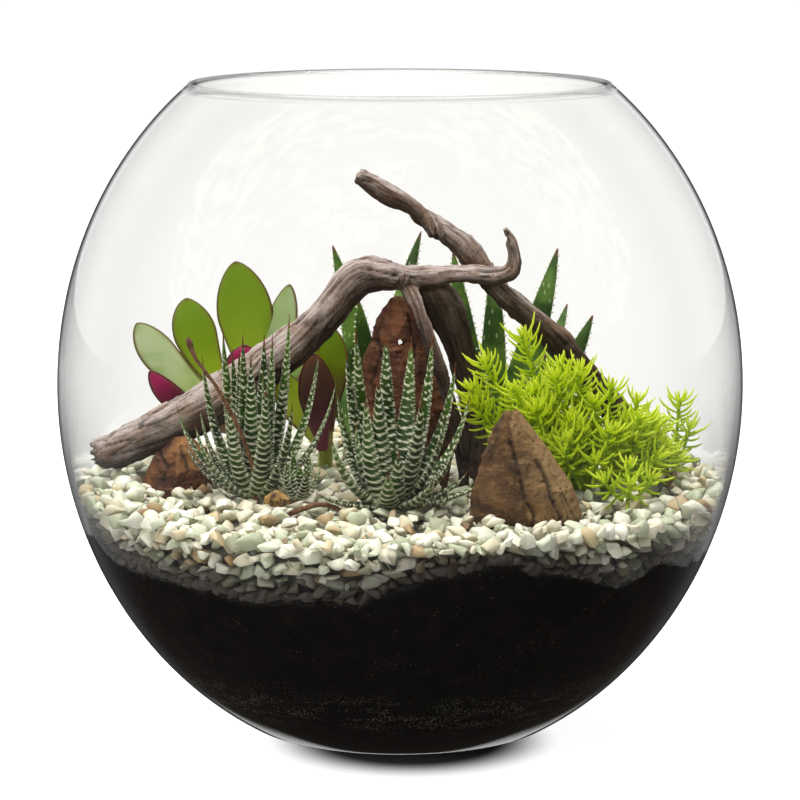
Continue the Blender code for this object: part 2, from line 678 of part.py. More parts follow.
CHANNEL = ((1.0, 0.5), (0.0, -0.15), (-1.0, 0.5), (0.0, 1.0))
ALOE_LEFT_LEAVES = (
    ((-14, 58, 112), (-31, 58, 206), 14, (4, -2, 4)),
    ((-10, 60, 112), (10, 62, 212), 13, (-4, 2, 4)),
    ((-14, 56, 110), (-19, 44, 183), 14, (2, -2, 2)),
    ((-16, 62, 110), (-40, 84, 172), 12, (-4, 2, -8)),
    ((-10, 64, 110), (6, 92, 168), 12, (2, 4, -8)),
)
ALOE_RIGHT_LEAVES = (
    ((38, 58, 112), (24, 56, 204), 14, (-2, -2, 2)),
    ((40, 58, 112), (42, 60, 198), 14, (4, 2, 0)),
    ((44, 58, 112), (72, 56, 205), 15, (2, 0, -6)),
    ((46, 56, 110), (88, 50, 175), 14, (6, 0, -8)),
    ((44, 54, 110), (66, 44, 158), 12, (6, -2, -6)),
    ((38, 54, 110), (32, 40, 165), 14, (0, -4, 0)),
    ((46, 62, 110), (78, 82, 176), 12, (4, 4, -8)),
    ((38, 62, 110), (26, 90, 172), 12, (-2, 4, -8)),
)


def aloe(name, heel, leaves, steps=11):
    heel = Vector(heel) * MM
    pieces = [round_plug(heel.x, heel.y, 115 * MM, 8 * MM, 0.69, ALOE_GREEN)]
    for foot, tip, width, knee in leaves:
        foot, tip = Vector(foot) * MM, Vector(tip) * MM
        middle = (foot + tip) / 2 + Vector(knee) * MM
        points = curve_to(foot, middle, tip, steps)
        out = tip - foot
        lean = -out.x * 0.6 if out.y > 0 else out.x * 0.6
        facing = Vector((max(abs(out.y), 12 * MM), lean, 0)).normalized()
        widths, thicknesses = [], []
        for i in range(steps):
            t = i / (steps - 1)
            tooth = 1.16 if i % 2 else 0.86
            body = width * MM * (1 - t**2.2) ** 0.9
            widths.append(0 if i == steps - 1 else body * tooth)
            thicknesses.append(0 if i == steps - 1 else 0.42 * body)
        pieces.append(loft("Leaf", blade(points, widths, thicknesses, CHANNEL, facing), ALOE_GREEN))
    return fuse(name, pieces)


# Sedum: leafy stems from one crown, given by their tips, with three-sided needles all round

NEEDLE_LENGTH = 12.5 * MM
NEEDLE_WIDTH = 2.1 * MM
STEM_RADIUS = 1.3 * MM
MOUND_TIPS = (
    (54, -6, 172), (37, -16, 162), (79, -4, 157), (104, -6, 143), (31, -24, 146), (44, -32, 122),
    (68, -20, 156), (92, -12, 150), (115, 2, 132), (123, -4, 117), (112, -24, 122), (90, -30, 134),
    (58, -32, 144), (46, -16, 134), (104, -22, 138), (70, -38, 126),
)  # fmt: skip
FRONT_TIPS = ((86, -62, 119), (97, -66, 118), (107, -58, 119), (97, -55, 124))
APART_TIPS = ((125, 20, 139), (129, 14, 128))


def needle_on(work, base, outward, along, lean, size):
    """A three-sided needle that grows out of one triangle of a stem."""
    centre = sum((vert.co for vert in base), Vector()) / 3
    middle = centre + (outward * 0.55 + along * lean * 0.5) * size
    tip = centre + (outward * 0.72 + along * (0.3 + lean * 0.6)) * size
    heading = (tip - centre).normalized()
    across = heading.cross(along).normalized()
    over = across.cross(heading)
    waist = []
    for vert in base:
        arm = vert.co - centre
        spread = Vector((arm.dot(across), arm.dot(over)))
        spread = spread.normalized() * NEEDLE_WIDTH * 0.55
        waist.append(work.verts.new(middle + across * spread.x + over * spread.y))
    point = work.verts.new(tip)
    for i in range(3):
        j = (i + 1) % 3
        work.faces.new((base[i], base[j], waist[j]))
        work.faces.new((base[i], waist[j], waist[i]))
        work.faces.new((waist[i], waist[j], point))


def leafy_stem(root, knee, tip, bare, segments, chance):
    """A three-sided stem, bare up to a share of its length, then with a needle on each side of every segment."""
    fine = curve_to(root, knee, tip, 61)
    places = [0.0, bare * 0.55] + [bare + (1 - bare) * i / segments for i in range(segments + 1)]
    points = [fine[round(60 * place)] for place in places]
    out = tip - root
    work = bmesh.new()
    rows, framed = [], frames(points, Vector((-out.y, out.x, 0.001)).normalized())
    turns = [max(0, i - 2) * 0.75 for i in range(len(places))]
    for (point, _, side, up), turn in zip(framed, turns):
        ring = [turn + math.tau * k / 3 for k in range(3)]
        arms = [(side * math.cos(a) + up * math.sin(a)) * STEM_RADIUS for a in ring]
        rows.append([work.verts.new(point + arm) for arm in arms])
    for i, (low, high) in enumerate(zip(rows, rows[1:])):
        for k in range(3):
            j = (k + 1) % 3
            upper = (low[k], high[j], high[k])
            lower = (low[k], low[j], high[j])
            work.faces.new(upper)
            if i < 2:
                work.faces.new(lower)
                continue
            along = framed[i][1]
            middle = sum((vert.co for vert in lower), Vector()) / 3
            outward = middle - (points[i] + points[i + 1]) / 2
            outward = (outward - along * outward.dot(along)).normalized()
            share = (i - 2) / max(1, segments - 1)
            size = NEEDLE_LENGTH * chance.uniform(0.88, 1.08)
            needle_on(work, lower, outward, along, 0.55 + 0.7 * share, size)
    last = rows[-1]
    along = framed[-1][1]
    work.faces.new(rows[0])
    needle_on(work, last, framed[-1][2] * 0.3, along, 1.3, NEEDLE_LENGTH * 0.9)
    return add_object("Stem", mesh_from(work, "Stem"), LIME_GREEN)


def sedum(name, heel, tips, plug_radius, seed, bare, segments):
    """Every stem bows out from the crown."""
    chance = random.Random(seed)
    heel = Vector(heel) * MM
    pieces = [round_plug(heel.x, heel.y, heel.z + 4 * MM, plug_radius, 0.6, LIME_GREEN)]
    for row in tips:
        tip = Vector(row) * MM
        out = tip - heel
        flat = Vector((out.x, out.y, 0))
        root = heel + flat * min(1.0, plug_radius * 0.6 / max(flat.length, 1e-6)) + Vector((0, 0, 1 * MM))
        knee = heel + Vector((out.x * 0.72, out.y * 0.72, out.z * 0.48))
        pieces.append(leafy_stem(root, knee, tip, bare, segments, chance))
    return fuse(name, pieces)


# Dry pieces

STALK = (
    (-66, -49, 100, 1.1), (-68, -50, 118, 1.0), (-72, -50, 136, 0.9), (-79, -49, 155, 0.8),
    (-86, -48, 168, 0.8), (-89, -47, 175, 1.4), (-90, -47, 177.5, 0.8),
)  # fmt: skip
TWIG = (
    (-50, -57, 102, 1.2), (-42, -59, 106, 1.2), (-34, -59, 108, 1.1), (-27, -57, 106, 1.0), (-22, -55, 102, 0.9),
)  # fmt: skip


def thin_stick(name, rows, steps):
    return loft(name, wood_rings(rows, 5, 7.0, steps, 1.0, 0.05), DRY_BROWN)


def build():
    glass_bowl()
    arch = driftwood_arch()
    branch = driftwood_branch()
    tall = stone("rock_tall", TALL_STONE, 2.0, RED_STONE)
    front = stone("rock_front", FRONT_STONE, 6.0, BROWN_STONE)
    left = stone("rock_left", LEFT_STONE, 11.0, ORANGE_STONE)
    boolean(left, "DIFFERENCE", [grown_copy(arch)])
    haworthia("haworthia_left", (-63, -27, 106), LEFT_TIPS, 12 * MM, 7 * MM)
    haworthia("haworthia_middle", (-43, -43, 108), MIDDLE_TIPS, 6 * MM, 3.5 * MM, 4)
    haworthia("haworthia_right", (-5, -48, 106), RIGHT_TIPS, 12.5 * MM, 8 * MM)
    paddle_plant("paddle_plant_left", LEFT_STEM, LEFT_PADDLES)
    paddle_plant("paddle_plant_right", RIGHT_STEM, RIGHT_PADDLES)
    aloe("aloe_left", (-13, 60, 110), ALOE_LEFT_LEAVES)
    aloe("aloe_right", (42, 58, 110), ALOE_RIGHT_LEAVES)
    sedum("sedum_mound", (84, -12, 105), MOUND_TIPS, 8 * MM, 3, 0.5, 4)
    sedum("sedum_front", (96, -54, 108), FRONT_TIPS, 3.5 * MM, 5, 0.25, 3)
    sedum("sedum_right", (121, 17, 106), APART_TIPS, 3 * MM, 8, 0.45, 4)
    stalk = thin_stick("flower_stalk", STALK, 10)
    twig = thin_stick("twig", TWIG, 8)
    pebble_bed([arch, branch, tall, front, left, stalk, twig])
    soil()


build()
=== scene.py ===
# %% [markdown]
# # A planted glass bowl
# The real object is a blown glass bubble bowl, thirty centimetres across, with dark soil, pale
# pebbles, driftwood, stones and a handful of succulents inside. The CAD solids already say where each piece
# is and how big. Here they are dressed: each plain solid is replaced by a finer piece of its form.

# %% Load the frame
import math
import random

import bmesh
import bpy
import numpy as np
from mathutils import Matrix, Vector, kdtree, noise


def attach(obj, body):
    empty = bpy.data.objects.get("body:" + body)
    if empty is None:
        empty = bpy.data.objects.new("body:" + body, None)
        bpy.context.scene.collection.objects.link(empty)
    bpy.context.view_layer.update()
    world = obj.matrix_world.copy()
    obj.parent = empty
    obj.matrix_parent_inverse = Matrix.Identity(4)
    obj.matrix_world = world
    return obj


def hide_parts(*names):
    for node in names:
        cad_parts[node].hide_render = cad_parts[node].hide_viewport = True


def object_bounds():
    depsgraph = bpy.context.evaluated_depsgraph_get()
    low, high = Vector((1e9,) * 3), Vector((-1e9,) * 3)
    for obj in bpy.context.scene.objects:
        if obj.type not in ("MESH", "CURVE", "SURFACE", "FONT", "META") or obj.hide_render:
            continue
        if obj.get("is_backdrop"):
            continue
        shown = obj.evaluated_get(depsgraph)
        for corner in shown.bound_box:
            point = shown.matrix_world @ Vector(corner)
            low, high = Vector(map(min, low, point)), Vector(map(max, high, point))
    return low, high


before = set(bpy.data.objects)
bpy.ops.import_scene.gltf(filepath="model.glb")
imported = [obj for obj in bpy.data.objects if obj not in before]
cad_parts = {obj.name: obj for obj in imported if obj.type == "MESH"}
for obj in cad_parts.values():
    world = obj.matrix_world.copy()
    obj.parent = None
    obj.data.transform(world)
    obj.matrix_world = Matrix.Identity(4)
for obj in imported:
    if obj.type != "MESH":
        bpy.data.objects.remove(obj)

MM = 0.001
cad_low, cad_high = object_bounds()
print(f"{len(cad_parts)} CAD nodes, {(cad_high - cad_low).x / MM:.0f} mm wide")

# %% [markdown]
# ## Camera
# A long lens a metre and a half away, a little higher than the bowl's mouth, shows it almost without
# perspective. A shorter lens nearby would swell the front of the bowl.

# %% Camera
CAMERA_PLACE = Vector((0, -1.45, 0.38))
CAMERA_AIM = Vector((0, 0, 0.1432))
LENS = 150.3
SENSOR = 36


def new_object(name, data):
    thing = bpy.data.objects.new(name, data)
    bpy.context.scene.collection.objects.link(thing)
    return thing


def point_at(thing, target):
    """Turns a camera or lamp towards a place."""
    thing.rotation_euler = (Vector(target) - thing.location).to_track_quat("-Z", "Y").to_euler()


camera = new_object("Camera", bpy.data.cameras.new("Camera"))
camera.location = CAMERA_PLACE
camera.data.lens = LENS
camera.data.sensor_width = SENSOR
point_at(camera, CAMERA_AIM)
bpy.context.scene.camera = camera
view = CAMERA_AIM - CAMERA_PLACE
print(f"camera looks down {math.degrees(math.atan2(-view.z, view.y)):.1f} degrees")

# %% [markdown]
# ## Sums on sockets
# Shader maths is easier to read as an expression than as a row of nodes. A Wire holds one output
# socket, and a sum on wires adds the Math node for it. Every other node comes from Recipe.add, which
# takes the node's type, its settings and what goes into its sockets: a wire, a number or a colour,
# which is written the way paint programs write it, in hex.


# %% Wires and recipes
def colour(text):
    """A hex colour as the linear numbers that a socket takes."""
    shares = [int(text[i : i + 2], 16) / 255 for i in (0, 2, 4)]
    linear = [s / 12.92 if s <= 0.04045 else ((s + 0.055) / 1.055) ** 2.4 for s in shares]
    return (*linear, 1.0)


class Wire:
    """One output socket; sums on wires add Math nodes."""

    def __init__(self, recipe, socket):
        self.recipe = recipe
        self.socket = socket

    def maths(self, operation, *values):
        return self.recipe.add("Math", {"operation": operation}, dict(enumerate(values)))

    def __add__(self, other):
        return self.maths("ADD", self, other)

    def __radd__(self, other):
        return self.maths("ADD", other, self)

    def __sub__(self, other):
        return self.maths("SUBTRACT", self, other)

    def __rsub__(self, other):
        return self.maths("SUBTRACT", other, self)

    def __mul__(self, other):
        return self.maths("MULTIPLY", self, other)

    def __rmul__(self, other):
        return self.maths("MULTIPLY", other, self)

    def between(self, low, high):
        """0 below low, 1 above high, and a smooth rise in the middle."""
        ends = {"Value": self, "From Min": low, "From Max": high}
        return self.recipe.add("MapRange", {"interpolation_type": "SMOOTHSTEP"}, ends)


class Recipe:
    """The nodes of one material or of the world."""

    def __init__(self, owner):
        owner.use_nodes = True
        self.owner = owner
        self.tree = owner.node_tree
        self.tree.nodes.clear()

    def add(self, kind, settings=None, sockets=None, output=0):
        node = self.tree.nodes.new("ShaderNode" + kind)
        for name, value in (settings or {}).items():
            setattr(node, name, value)
        for key, value in (sockets or {}).items():
            if isinstance(value, Wire):
                self.tree.links.new(value.socket, node.inputs[key])
            else:
                node.inputs[key].default_value = colour(value) if isinstance(value, str) else value
        return Wire(self, node.outputs[output]) if node.outputs else node

    def ramp(self, value, *stops):
        """Colours along a value, each given with its place."""
        wire = self.add("ValToRGB", None, {0: value})
        elements = wire.socket.node.color_ramp.elements
        while len(elements) < len(stops):
            elements.new(1.0)
        for element, (place, tone) in zip(elements, stops):
            element.position = place
            element.color = colour(tone)
        return wire

    def mark(self, name):
        """A number that the mesh carries at its points."""
        return self.add("Attribute", {"attribute_name": name}, output="Fac")

    def place(self, name=None):
        """Where a point is: on the piece, or in the piece's own named coordinates."""
        if name:
            return self.add("Attribute", {"attribute_name": name}, output="Vector")
        return self.add("TexCoord", output="Object")

    def mix(self, factor, first, second):
        return self.add("Mix", {"data_type": "RGBA"}, {0: factor, 6: first, 7: second}, 2)

    def stretched(self, vector, scale):
        return self.add("Mapping", None, {"Vector": vector, "Scale": scale})

    def cloud(self, vector, scale, detail=4.0, roughness=0.55):
        sockets = {"Vector": vector, "Scale": scale, "Detail": detail, "Roughness": roughness}
        return self.add("TexNoise", None, sockets)

    def cells(self, vector, scale, feature="F1", output="Distance"):
        return self.add("TexVoronoi", {"feature": feature}, {"Vector": vector, "Scale": scale}, output)

    def bump(self, height, distance, strength=1.0):
        sockets = {"Strength": strength, "Distance": distance, "Height": height}
        return self.add("Bump", None, sockets, "Normal")

    def coats(self, base, *coats):
        """One colour over another, each given with how much of it shows."""
        for share, tone in coats:
            base = self.mix(share, base, tone)
        return base

    def ray(self, kind):
        """What kind of ray asks: 1 or more if it is of this kind."""
        return self.add("LightPath", output=kind)

    def surface(self, base, roughness, **more):
        """The usual surface; names of further sockets have underscores for spaces."""
        sockets = {name.replace("_", " "): value for name, value in more.items()}
        return self.add("BsdfPrincipled", None, {"Base Color": base, "Roughness": roughness, **sockets})

    def join(self, factor, first, second):
        return self.add("MixShader", None, {0: factor, 1: first, 2: second})

    def show(self, shader, kind="OutputMaterial"):
        self.add(kind, None, {"Surface": shader})
        return self.owner


def new_finish(name):
    return Recipe(bpy.data.materials.new(name))


print("mid grey in linear numbers:", round(colour("808080")[0], 3))

# %% [markdown]
# ## Studio
# Clear glass is best seen against a bright field: what shines through stays white, and only the
# steepest edges mirror something dark, which draws the bowl's outline. So the world is white to the
# eye and to light that passes through glass, and softer where it falls on things. Mirrored rays see a
# room of their own: dark behind the camera, a pale card round the backdrop, and a dark gap in the
# card's middle, where the very edge of the glass looks. A second card, low down, draws the bright
# line along the foot. The glass mirrors no lamp but one: a wide lamp overhead models the forms, one
# stands front left, one behind lets the leaves glow, and a tiny one is the spark on the glass.

# %% Studio
BACKDROP = (1.0, 1.0, 1.0, 1.0)
SEEN_THROUGH = (1.0, 0.985, 0.965, 1.0)
BACKDROP_POWER = 1.05
THROUGH_POWER = 1.13
SOFT_POWER = 0.2  # the world's strength as a lamp
ROOM = (0.13, 0.13, 0.13, 1.0)
ROOM_FRONT = (0.036, 0.031, 0.027, 1.0)
CARD = (1.0, 1.0, 0.985, 1.0)
GAP = (0.05, 0.05, 0.05, 1.0)
AHEAD = Vector((0, 0.987, -0.161))
FLOOR_DROP = 0.3 * MM
PAINTED_SHADOW_PLACE = (5 * MM, -38 * MM, 0)  # middle of the shadow painted on the floor at the bowl's foot
# Distances from there at which the painted shadow is full and where it ends
PAINTED_SHADOW_EDGE = (38 * MM, 66 * MM)
MIDDLE = Vector((0, 0, 0.13))  # what the lamps look at
# Where the room changes for mirrored rays: by how far a ray goes ahead, and by how much it rises
FRONT_AHEAD, FRONT_RISE = (-0.3, 0.3), (-0.55, -0.25)
CARD_AHEAD, CARD_RISE = (0.25, 0.65), (-0.26, -0.08)
GAP_AHEAD = (0.90, 0.975)
FOOT_CARD_AHEAD, FOOT_CARD_END = (0.83, 0.88), 0.965
FOOT_CARD_TOP = -0.40
FOOT_CARD_WIDTH = 0.05  # square of how far it reaches to either side
bpy.context.scene.world = bpy.data.worlds.new("Studio")
no_glass = bpy.data.collections.new("Lamps pass these")
only_glass = bpy.data.collections.new("Spark shows here")


def studio_world():
    world = Recipe(bpy.context.scene.world)
    bright = world.add("Background", None, {"Color": BACKDROP, "Strength": BACKDROP_POWER})
    through = world.add("Background", None, {"Color": SEEN_THROUGH, "Strength": THROUGH_POWER})
    soft = world.add("Background", None, {"Color": BACKDROP, "Strength": SOFT_POWER})
    room = ({"Color": tone, "Strength": 1.0} for tone in (ROOM_FRONT, ROOM, CARD, GAP))
    front, side, card, gap = (world.add("Background", None, sockets) for sockets in room)
    way = world.add("TexCoord", output="Generated")
    ahead = world.add("VectorMath", {"operation": "DOT_PRODUCT"}, {0: way, 1: AHEAD}, "Value")
    rise = world.add("SeparateXYZ", None, {0: way}, "Z")
    aside = world.add("SeparateXYZ", None, {0: way}, "X")
    dark = world.join(ahead.between(*FRONT_AHEAD) * rise.between(*FRONT_RISE), front, side)
    dark = world.join(ahead.between(*CARD_AHEAD) * rise.between(*CARD_RISE), dark, card)
    dark = world.join(ahead.between(*GAP_AHEAD), dark, gap)
    foot = ahead.between(*FOOT_CARD_AHEAD) * (FOOT_CARD_END - ahead).between(0, 0.02)
    foot = foot * (FOOT_CARD_TOP - rise).between(0, 0.05)
    foot = foot * (FOOT_CARD_WIDTH - aside * aside).between(0, 0.04)
    dark = world.join(foot, dark, card)
    seen = world.join(world.ray("Is Transmission Ray"), bright, through)
    lit = world.join(world.ray("Is Diffuse Ray"), seen, soft)
    world.show(world.join(world.ray("Glossy Depth"), lit, dark), "OutputWorld")


def lamp(name, place, size, power, lit=no_glass):
    """A round soft lamp. The glass doesn't mirror it, unless it is the one lit, but leaves and stones do."""
    light = bpy.data.lights.new(name, "AREA")
    light.shape = "DISK"
    light.size = size
    light.energy = power
    thing = new_object(name, light)
    thing.location = place
    thing.visible_camera = False
    thing.visible_transmission = False
    thing.light_linking.receiver_collection = lit
    point_at(thing, MIDDLE)


def floor_disk():
    """A pale floor with a little light of its own, like a light table, with a shadow painted round the bowl's
    foot.
    """
    bpy.ops.mesh.primitive_circle_add(vertices=96, radius=6, fill_type="NGON", location=(0, 0, -FLOOR_DROP))
    disk = bpy.context.object
    disk.name = "Floor"
    disk.visible_glossy = False
    paint = new_finish("Studio floor")
    away = paint.add("VectorMath", {"operation": "SUBTRACT"}, {0: paint.place(), 1: PAINTED_SHADOW_PLACE}, "Vector")
    apart = paint.add("VectorMath", {"operation": "LENGTH"}, {0: away}, "Value")

    def matt(tone, glow=0.0):
        light = {"Emission_Color": BACKDROP, "Emission_Strength": glow}
        return paint.surface(tone, 0.9, Specular_IOR_Level=0.0, **light)

    # Painted shadow: near the bowl's foot the floor turns dark grey and loses its glow.
    seen = paint.join(apart.between(*PAINTED_SHADOW_EDGE), matt((0.06, 0.06, 0.06, 1)), matt((0.4, 0.4, 0.4, 1), 0.95))
    through = paint.add("Emission", None, {"Color": SEEN_THROUGH, "Strength": THROUGH_POWER})
    seen = paint.join(paint.ray("Is Transmission Ray"), seen, through)
    seen = paint.join(paint.ray("Is Diffuse Ray"), seen, matt((0.5, 0.5, 0.5, 1)))
    seen = paint.join(paint.ray("Glossy Depth"), seen, matt(ROOM))
    disk.data.materials.append(paint.show(seen))
    disk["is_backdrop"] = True


studio_world()
floor_disk()
lamp("Lamp overhead", (-0.12, -0.15, 1.5), 1.3, 33)
lamp("Lamp front", (-0.8, -1.1, 0.9), 0.6, 8)
lamp("Lamp behind", (-0.4, 1.2, 0.7), 0.9, 20)
lamp("Lamp spark", (0, -1.293, 0.538), 0.032, 0.065, only_glass)
bpy.context.scene.view_settings.view_transform = "Standard"
print("floor lies", FLOOR_DROP / MM, "mm under the bowl")

# %% [markdown]
# ## Forms
# Most pieces here are swept: an outline is carried along a curve, and the outline may change on the
# way. A Heap gathers many such forms into one mesh, and keeps named numbers at the points, such as
# how far along a leaf a point is. The finishes read those numbers.


# %% Curves and sweeps
def arc(base, knee, tip, steps):
    """Points of a quadratic arc from base to tip, pulled towards the knee."""
    t = np.linspace(0, 1, steps)[:, None]
    return np.array(base) * (1 - t) ** 2 + np.array(knee) * 2 * t * (1 - t) + np.array(tip) * t * t


def smooth_rows(rows, steps):
    """A smooth curve through the rows, evenly by row."""
    rows = np.array(rows, float)
    padded = np.vstack([2 * rows[0] - rows[1], rows, 2 * rows[-1] - rows[-2]])
    place = np.linspace(0, len(rows) - 1, steps)
    i = np.minimum(place.astype(int), len(rows) - 2)
    t = (place - i)[:, None]
    a, b, c, d = (padded[i + k] for k in range(4))
    return 0.5 * (2 * b + (c - a) * t + (2 * a - 5 * b + 4 * c - d) * t**2 + (3 * b - a - 3 * c + d) * t**3)


def carried(points, side):
    """At each point of a curve, the direction across it and the one square to both, without twist."""
    across, over = [], []
    side = Vector(side)
    for i in range(len(points)):
        along = Vector(points[min(i + 1, len(points) - 1)] - points[max(i - 1, 0)]).normalized()
        side = (side - along * side.dot(along)).normalized()
        across.append(side)
        over.append(side.cross(along))
    return np.array(across), np.array(over)


def stacked(rings):
    """Points and faces of a closed form, from rings of points that lie one on top of the other."""
    count, sides = rings.shape[:2]
    step = np.arange(sides)
    rows = np.arange(count - 1)[:, None] * sides
    quads = np.stack([rows + step, rows + (step + 1) % sides], -1)
    quads = np.concatenate([quads, quads[..., ::-1] + sides], -1).reshape(-1, 4).tolist()
    return rings.reshape(-1, 3), quads + [list(step[::-1]), list(step + (count - 1) * sides)]


def sweep(points, across, over, outline):
    """A closed form along a curve. The outline gives, ring by ring, offsets across and over."""
    return stacked(points[:, None] + outline[:, :, :1] * across[:, None] + outline[:, :, 1:] * over[:, None])


def wrinkle(points, size, seed=0.0):
    """Smooth noise from -1 to 1 at each point; size is the width of its lumps."""
    shift = Vector((seed, seed * 1.7, -seed))
    return np.array([noise.noise(Vector(point) / size + shift) for point in points])


noise.seed_set(1)  # otherwise noise vectors differ from run to run


def wrinkle_vectors(points, size, seed):
    """Smooth noise with three parts at each point."""
    shift = Vector((seed, -seed, seed * 0.6))
    return np.array([noise.noise_vector(Vector(point) / size + shift) for point in points])


# %% Heaps
class Heap:
    """Loose forms gathered into one mesh, with named numbers or vectors at its points."""

    def __init__(self):
        self.points = []
        self.faces = []
        self.marks = {}
        self.count = 0

    def add(self, points, faces, **marks):
        self.points.append(points)
        self.faces += [[i + self.count for i in face] for face in faces]
        for name, value in marks.items():
            value = np.array(value, float)
            shape = (len(points), 3) if value.ndim == 2 or value.shape == (3,) else (len(points),)
            self.marks.setdefault(name, []).append(np.broadcast_to(value, shape))
        self.count += len(points)

    def mesh(self, name):
        mesh = bpy.data.meshes.new(name)
        mesh.from_pydata(np.concatenate(self.points).tolist(), [], self.faces)
        return mesh

    def piece(self, name, finish, slot, replaces=(), sharp=None):
        mesh = self.mesh(name)
        mesh.validate()
        keep_marks(mesh, {mark: np.concatenate(parts) for mark, parts in self.marks.items()})
        put_on(name, mesh, finish, replaces, sharp)


def keep_marks(mesh, marks):
    """Writes the named numbers or vectors to the mesh's points."""
    for name, values in marks.items():
        kind, key = ("FLOAT_VECTOR", "vector") if values.ndim == 2 else ("FLOAT", "value")
        mesh.attributes.new(name, kind, "POINT").data.foreach_set(key, values.astype(np.float32).ravel())


def put_on(name, mesh, finish, replaces=(), sharp=None):
    """Makes the mesh a piece of the object, in place of the CAD nodes that it stands for."""
    if sharp is None:
        mesh.shade_smooth()
    else:
        mesh.polygons.foreach_set("use_smooth", [True] * len(mesh.polygons))
        mesh.set_sharp_from_angle(angle=math.radians(sharp))
    mesh.materials.clear()
    mesh.materials.append(finish)
    thing = new_object(name, mesh)
    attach(thing, "root")
    if replaces:
        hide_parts(*replaces)
    triangles = sum(len(face.vertices) - 2 for face in mesh.polygons)
    print(f"{name}: {triangles} triangles")
    return thing


# %% [markdown]
# ## Bowl
# The bowl is blown into a round mould, so it is one profile turned about its axis: an ellipse with a
# flat foot and a wide mouth. The wall is even, the foot thick, and the lip melted round. The inside
# has to be a real surface, or the glass would look like a solid ball. Light from lamps passes
# straight through, so that the plants are lit without waiting for rays that find their way by bending.
# The thin lip lets half of what is behind it through unbent, so that it stays a light line.

# %% Bowl
BOWL_RADIUS = 150 * MM
BOWL_HEIGHT = 283 * MM
BELLY_LEVEL = 150 * MM  # of the widest ring
BELLY_RISE = 167 * MM  # half height of the full ellipse
WALL = 2.4 * MM
FLOOR = 9 * MM
HEEL_LEVEL = 20 * MM  # where the inside turns from wall to floor
FOOT_ROUND = 12 * MM
FLOOR_POINTS = ((0, FLOOR), (44 * MM, FLOOR), (64 * MM, FLOOR + 1.2 * MM), (78 * MM, FLOOR + 5 * MM))
BOWL_STEPS = 160
FOOT_STEPS = 9
LIP = (BOWL_HEIGHT - 3 * MM, BOWL_HEIGHT - MM)  # levels between which the lip turns light
LIP_CLEARNESS = 0.5


def ellipse_radius(level, inset=0.0):
    share = (np.asarray(level) - BELLY_LEVEL) / (BELLY_RISE - inset)
    return (BOWL_RADIUS - inset) * np.sqrt(np.maximum(0.0, 1 - share**2))


def wall_levels(low, high, inset, count):
    rise = BELLY_RISE - inset
    start, end = (math.asin((level - BELLY_LEVEL) / rise) for level in (low, high))
    return BELLY_LEVEL + rise * np.sin(np.linspace(start, end, count))


def inner_profile(count):
    """Radius and level up the inside, from the middle of the floor to the lip."""
    floor = smooth_rows(FLOOR_POINTS, 24)
    levels = wall_levels(HEEL_LEVEL, BOWL_HEIGHT - WALL / 2, WALL, count)
    wall = np.stack([ellipse_radius(levels, WALL), levels], 1)
    heel = smooth_rows((FLOOR_POINTS[-2], FLOOR_POINTS[-1], wall[0], wall[1]), 19)[7:12]
    return np.vstack([floor[:-1], heel, wall[1:]])


INNER = inner_profile(70)
FLAT_ROWS = 12  # so many rows lie on the flat of the floor


def wall_inside(level, gap=0.0):
    """Radius of the inside of the glass at a level, less a gap."""
    rows = INNER[FLAT_ROWS:]
    return np.interp(level, rows[:, 1], rows[:, 0]) - gap


def foot_profile():
    """The foot's rounding, from where it leaves the wall to the flat underside."""
    rise = 0.0
    for _ in range(FOOT_STEPS):
        down, out = (BELLY_LEVEL - rise) / BELLY_RISE**2, float(ellipse_radius(rise)) / BOWL_RADIUS**2
        facing = math.atan2(down, out)
        rise = FOOT_ROUND * (1 - math.sin(facing))
    middle = float(ellipse_radius(rise)) - FOOT_ROUND * math.cos(facing)
    turn = np.linspace(facing, math.pi / 2, FOOT_STEPS)[1:]
    return rise, np.stack([middle + FOOT_ROUND * np.cos(turn), FOOT_ROUND * (1 - np.sin(turn))], 1)


def bowl_profile():
    foot_rise, foot = foot_profile()
    levels = wall_levels(foot_rise, BOWL_HEIGHT - WALL / 2, 0, 80)
    outer = np.stack([ellipse_radius(levels), levels], 1)[::-1]
    lip_middle = (INNER[-1] + outer[0]) / 2
    turn = np.linspace(math.pi, 0, 11)[1:-1]
    half = (outer[0][0] - INNER[-1][0]) / 2
    lip = np.stack([lip_middle[0] + half * np.cos(turn), lip_middle[1] + WALL / 2 * np.sin(turn)], 1)
    under = np.array([[foot[-1][0] * 0.9, 0], [0, 0]])
    return np.vstack([INNER, lip, outer, foot, under])


def clear_glass():
    glass = new_finish("Clear glass")
    open_air = glass.add("BsdfTransparent", None, {"Color": (0.96, 0.97, 0.96, 1)})
    see_through = glass.add("BsdfTransparent", None, {"Color": (1, 1, 1, 1)})
    level = glass.add("SeparateXYZ", None, {0: glass.place()}, "Z")
    clear = glass.surface((0.985, 0.99, 0.985, 1), 0.0, IOR=1.43, Transmission_Weight=1.0)
    clear = glass.join(level.between(*LIP) * LIP_CLEARNESS, clear, see_through)
    shadow = glass.ray("Is Shadow Ray")
    spread = glass.ray("Is Diffuse Ray")
    return glass.show(glass.join(shadow, glass.join(spread, clear, open_air), open_air))


def bowl():
    work = bmesh.new()
    verts = [work.verts.new((radius, 0, level)) for radius, level in bowl_profile()]
    edges = [work.edges.new(pair) for pair in zip(verts, verts[1:])]
    turn = {"axis": (0, 0, 1), "cent": (0, 0, 0), "angle": math.tau, "steps": BOWL_STEPS, "use_merge": True}
    bmesh.ops.spin(work, geom=verts + edges, **turn)
    bmesh.ops.remove_doubles(work, verts=work.verts[:], dist=0.001 * MM)
    bmesh.ops.recalc_face_normals(work, faces=work.faces[:])
    mesh = bpy.data.meshes.new("bowl")
    work.to_mesh(mesh)
    work.free()
    glass = put_on("bowl", mesh, clear_glass(), ["glass_bowl"], sharp=50)
    no_glass.objects.link(glass)
    no_glass.collection_objects[0].light_linking.link_state = "EXCLUDE"
    only_glass.objects.link(glass)


bowl()

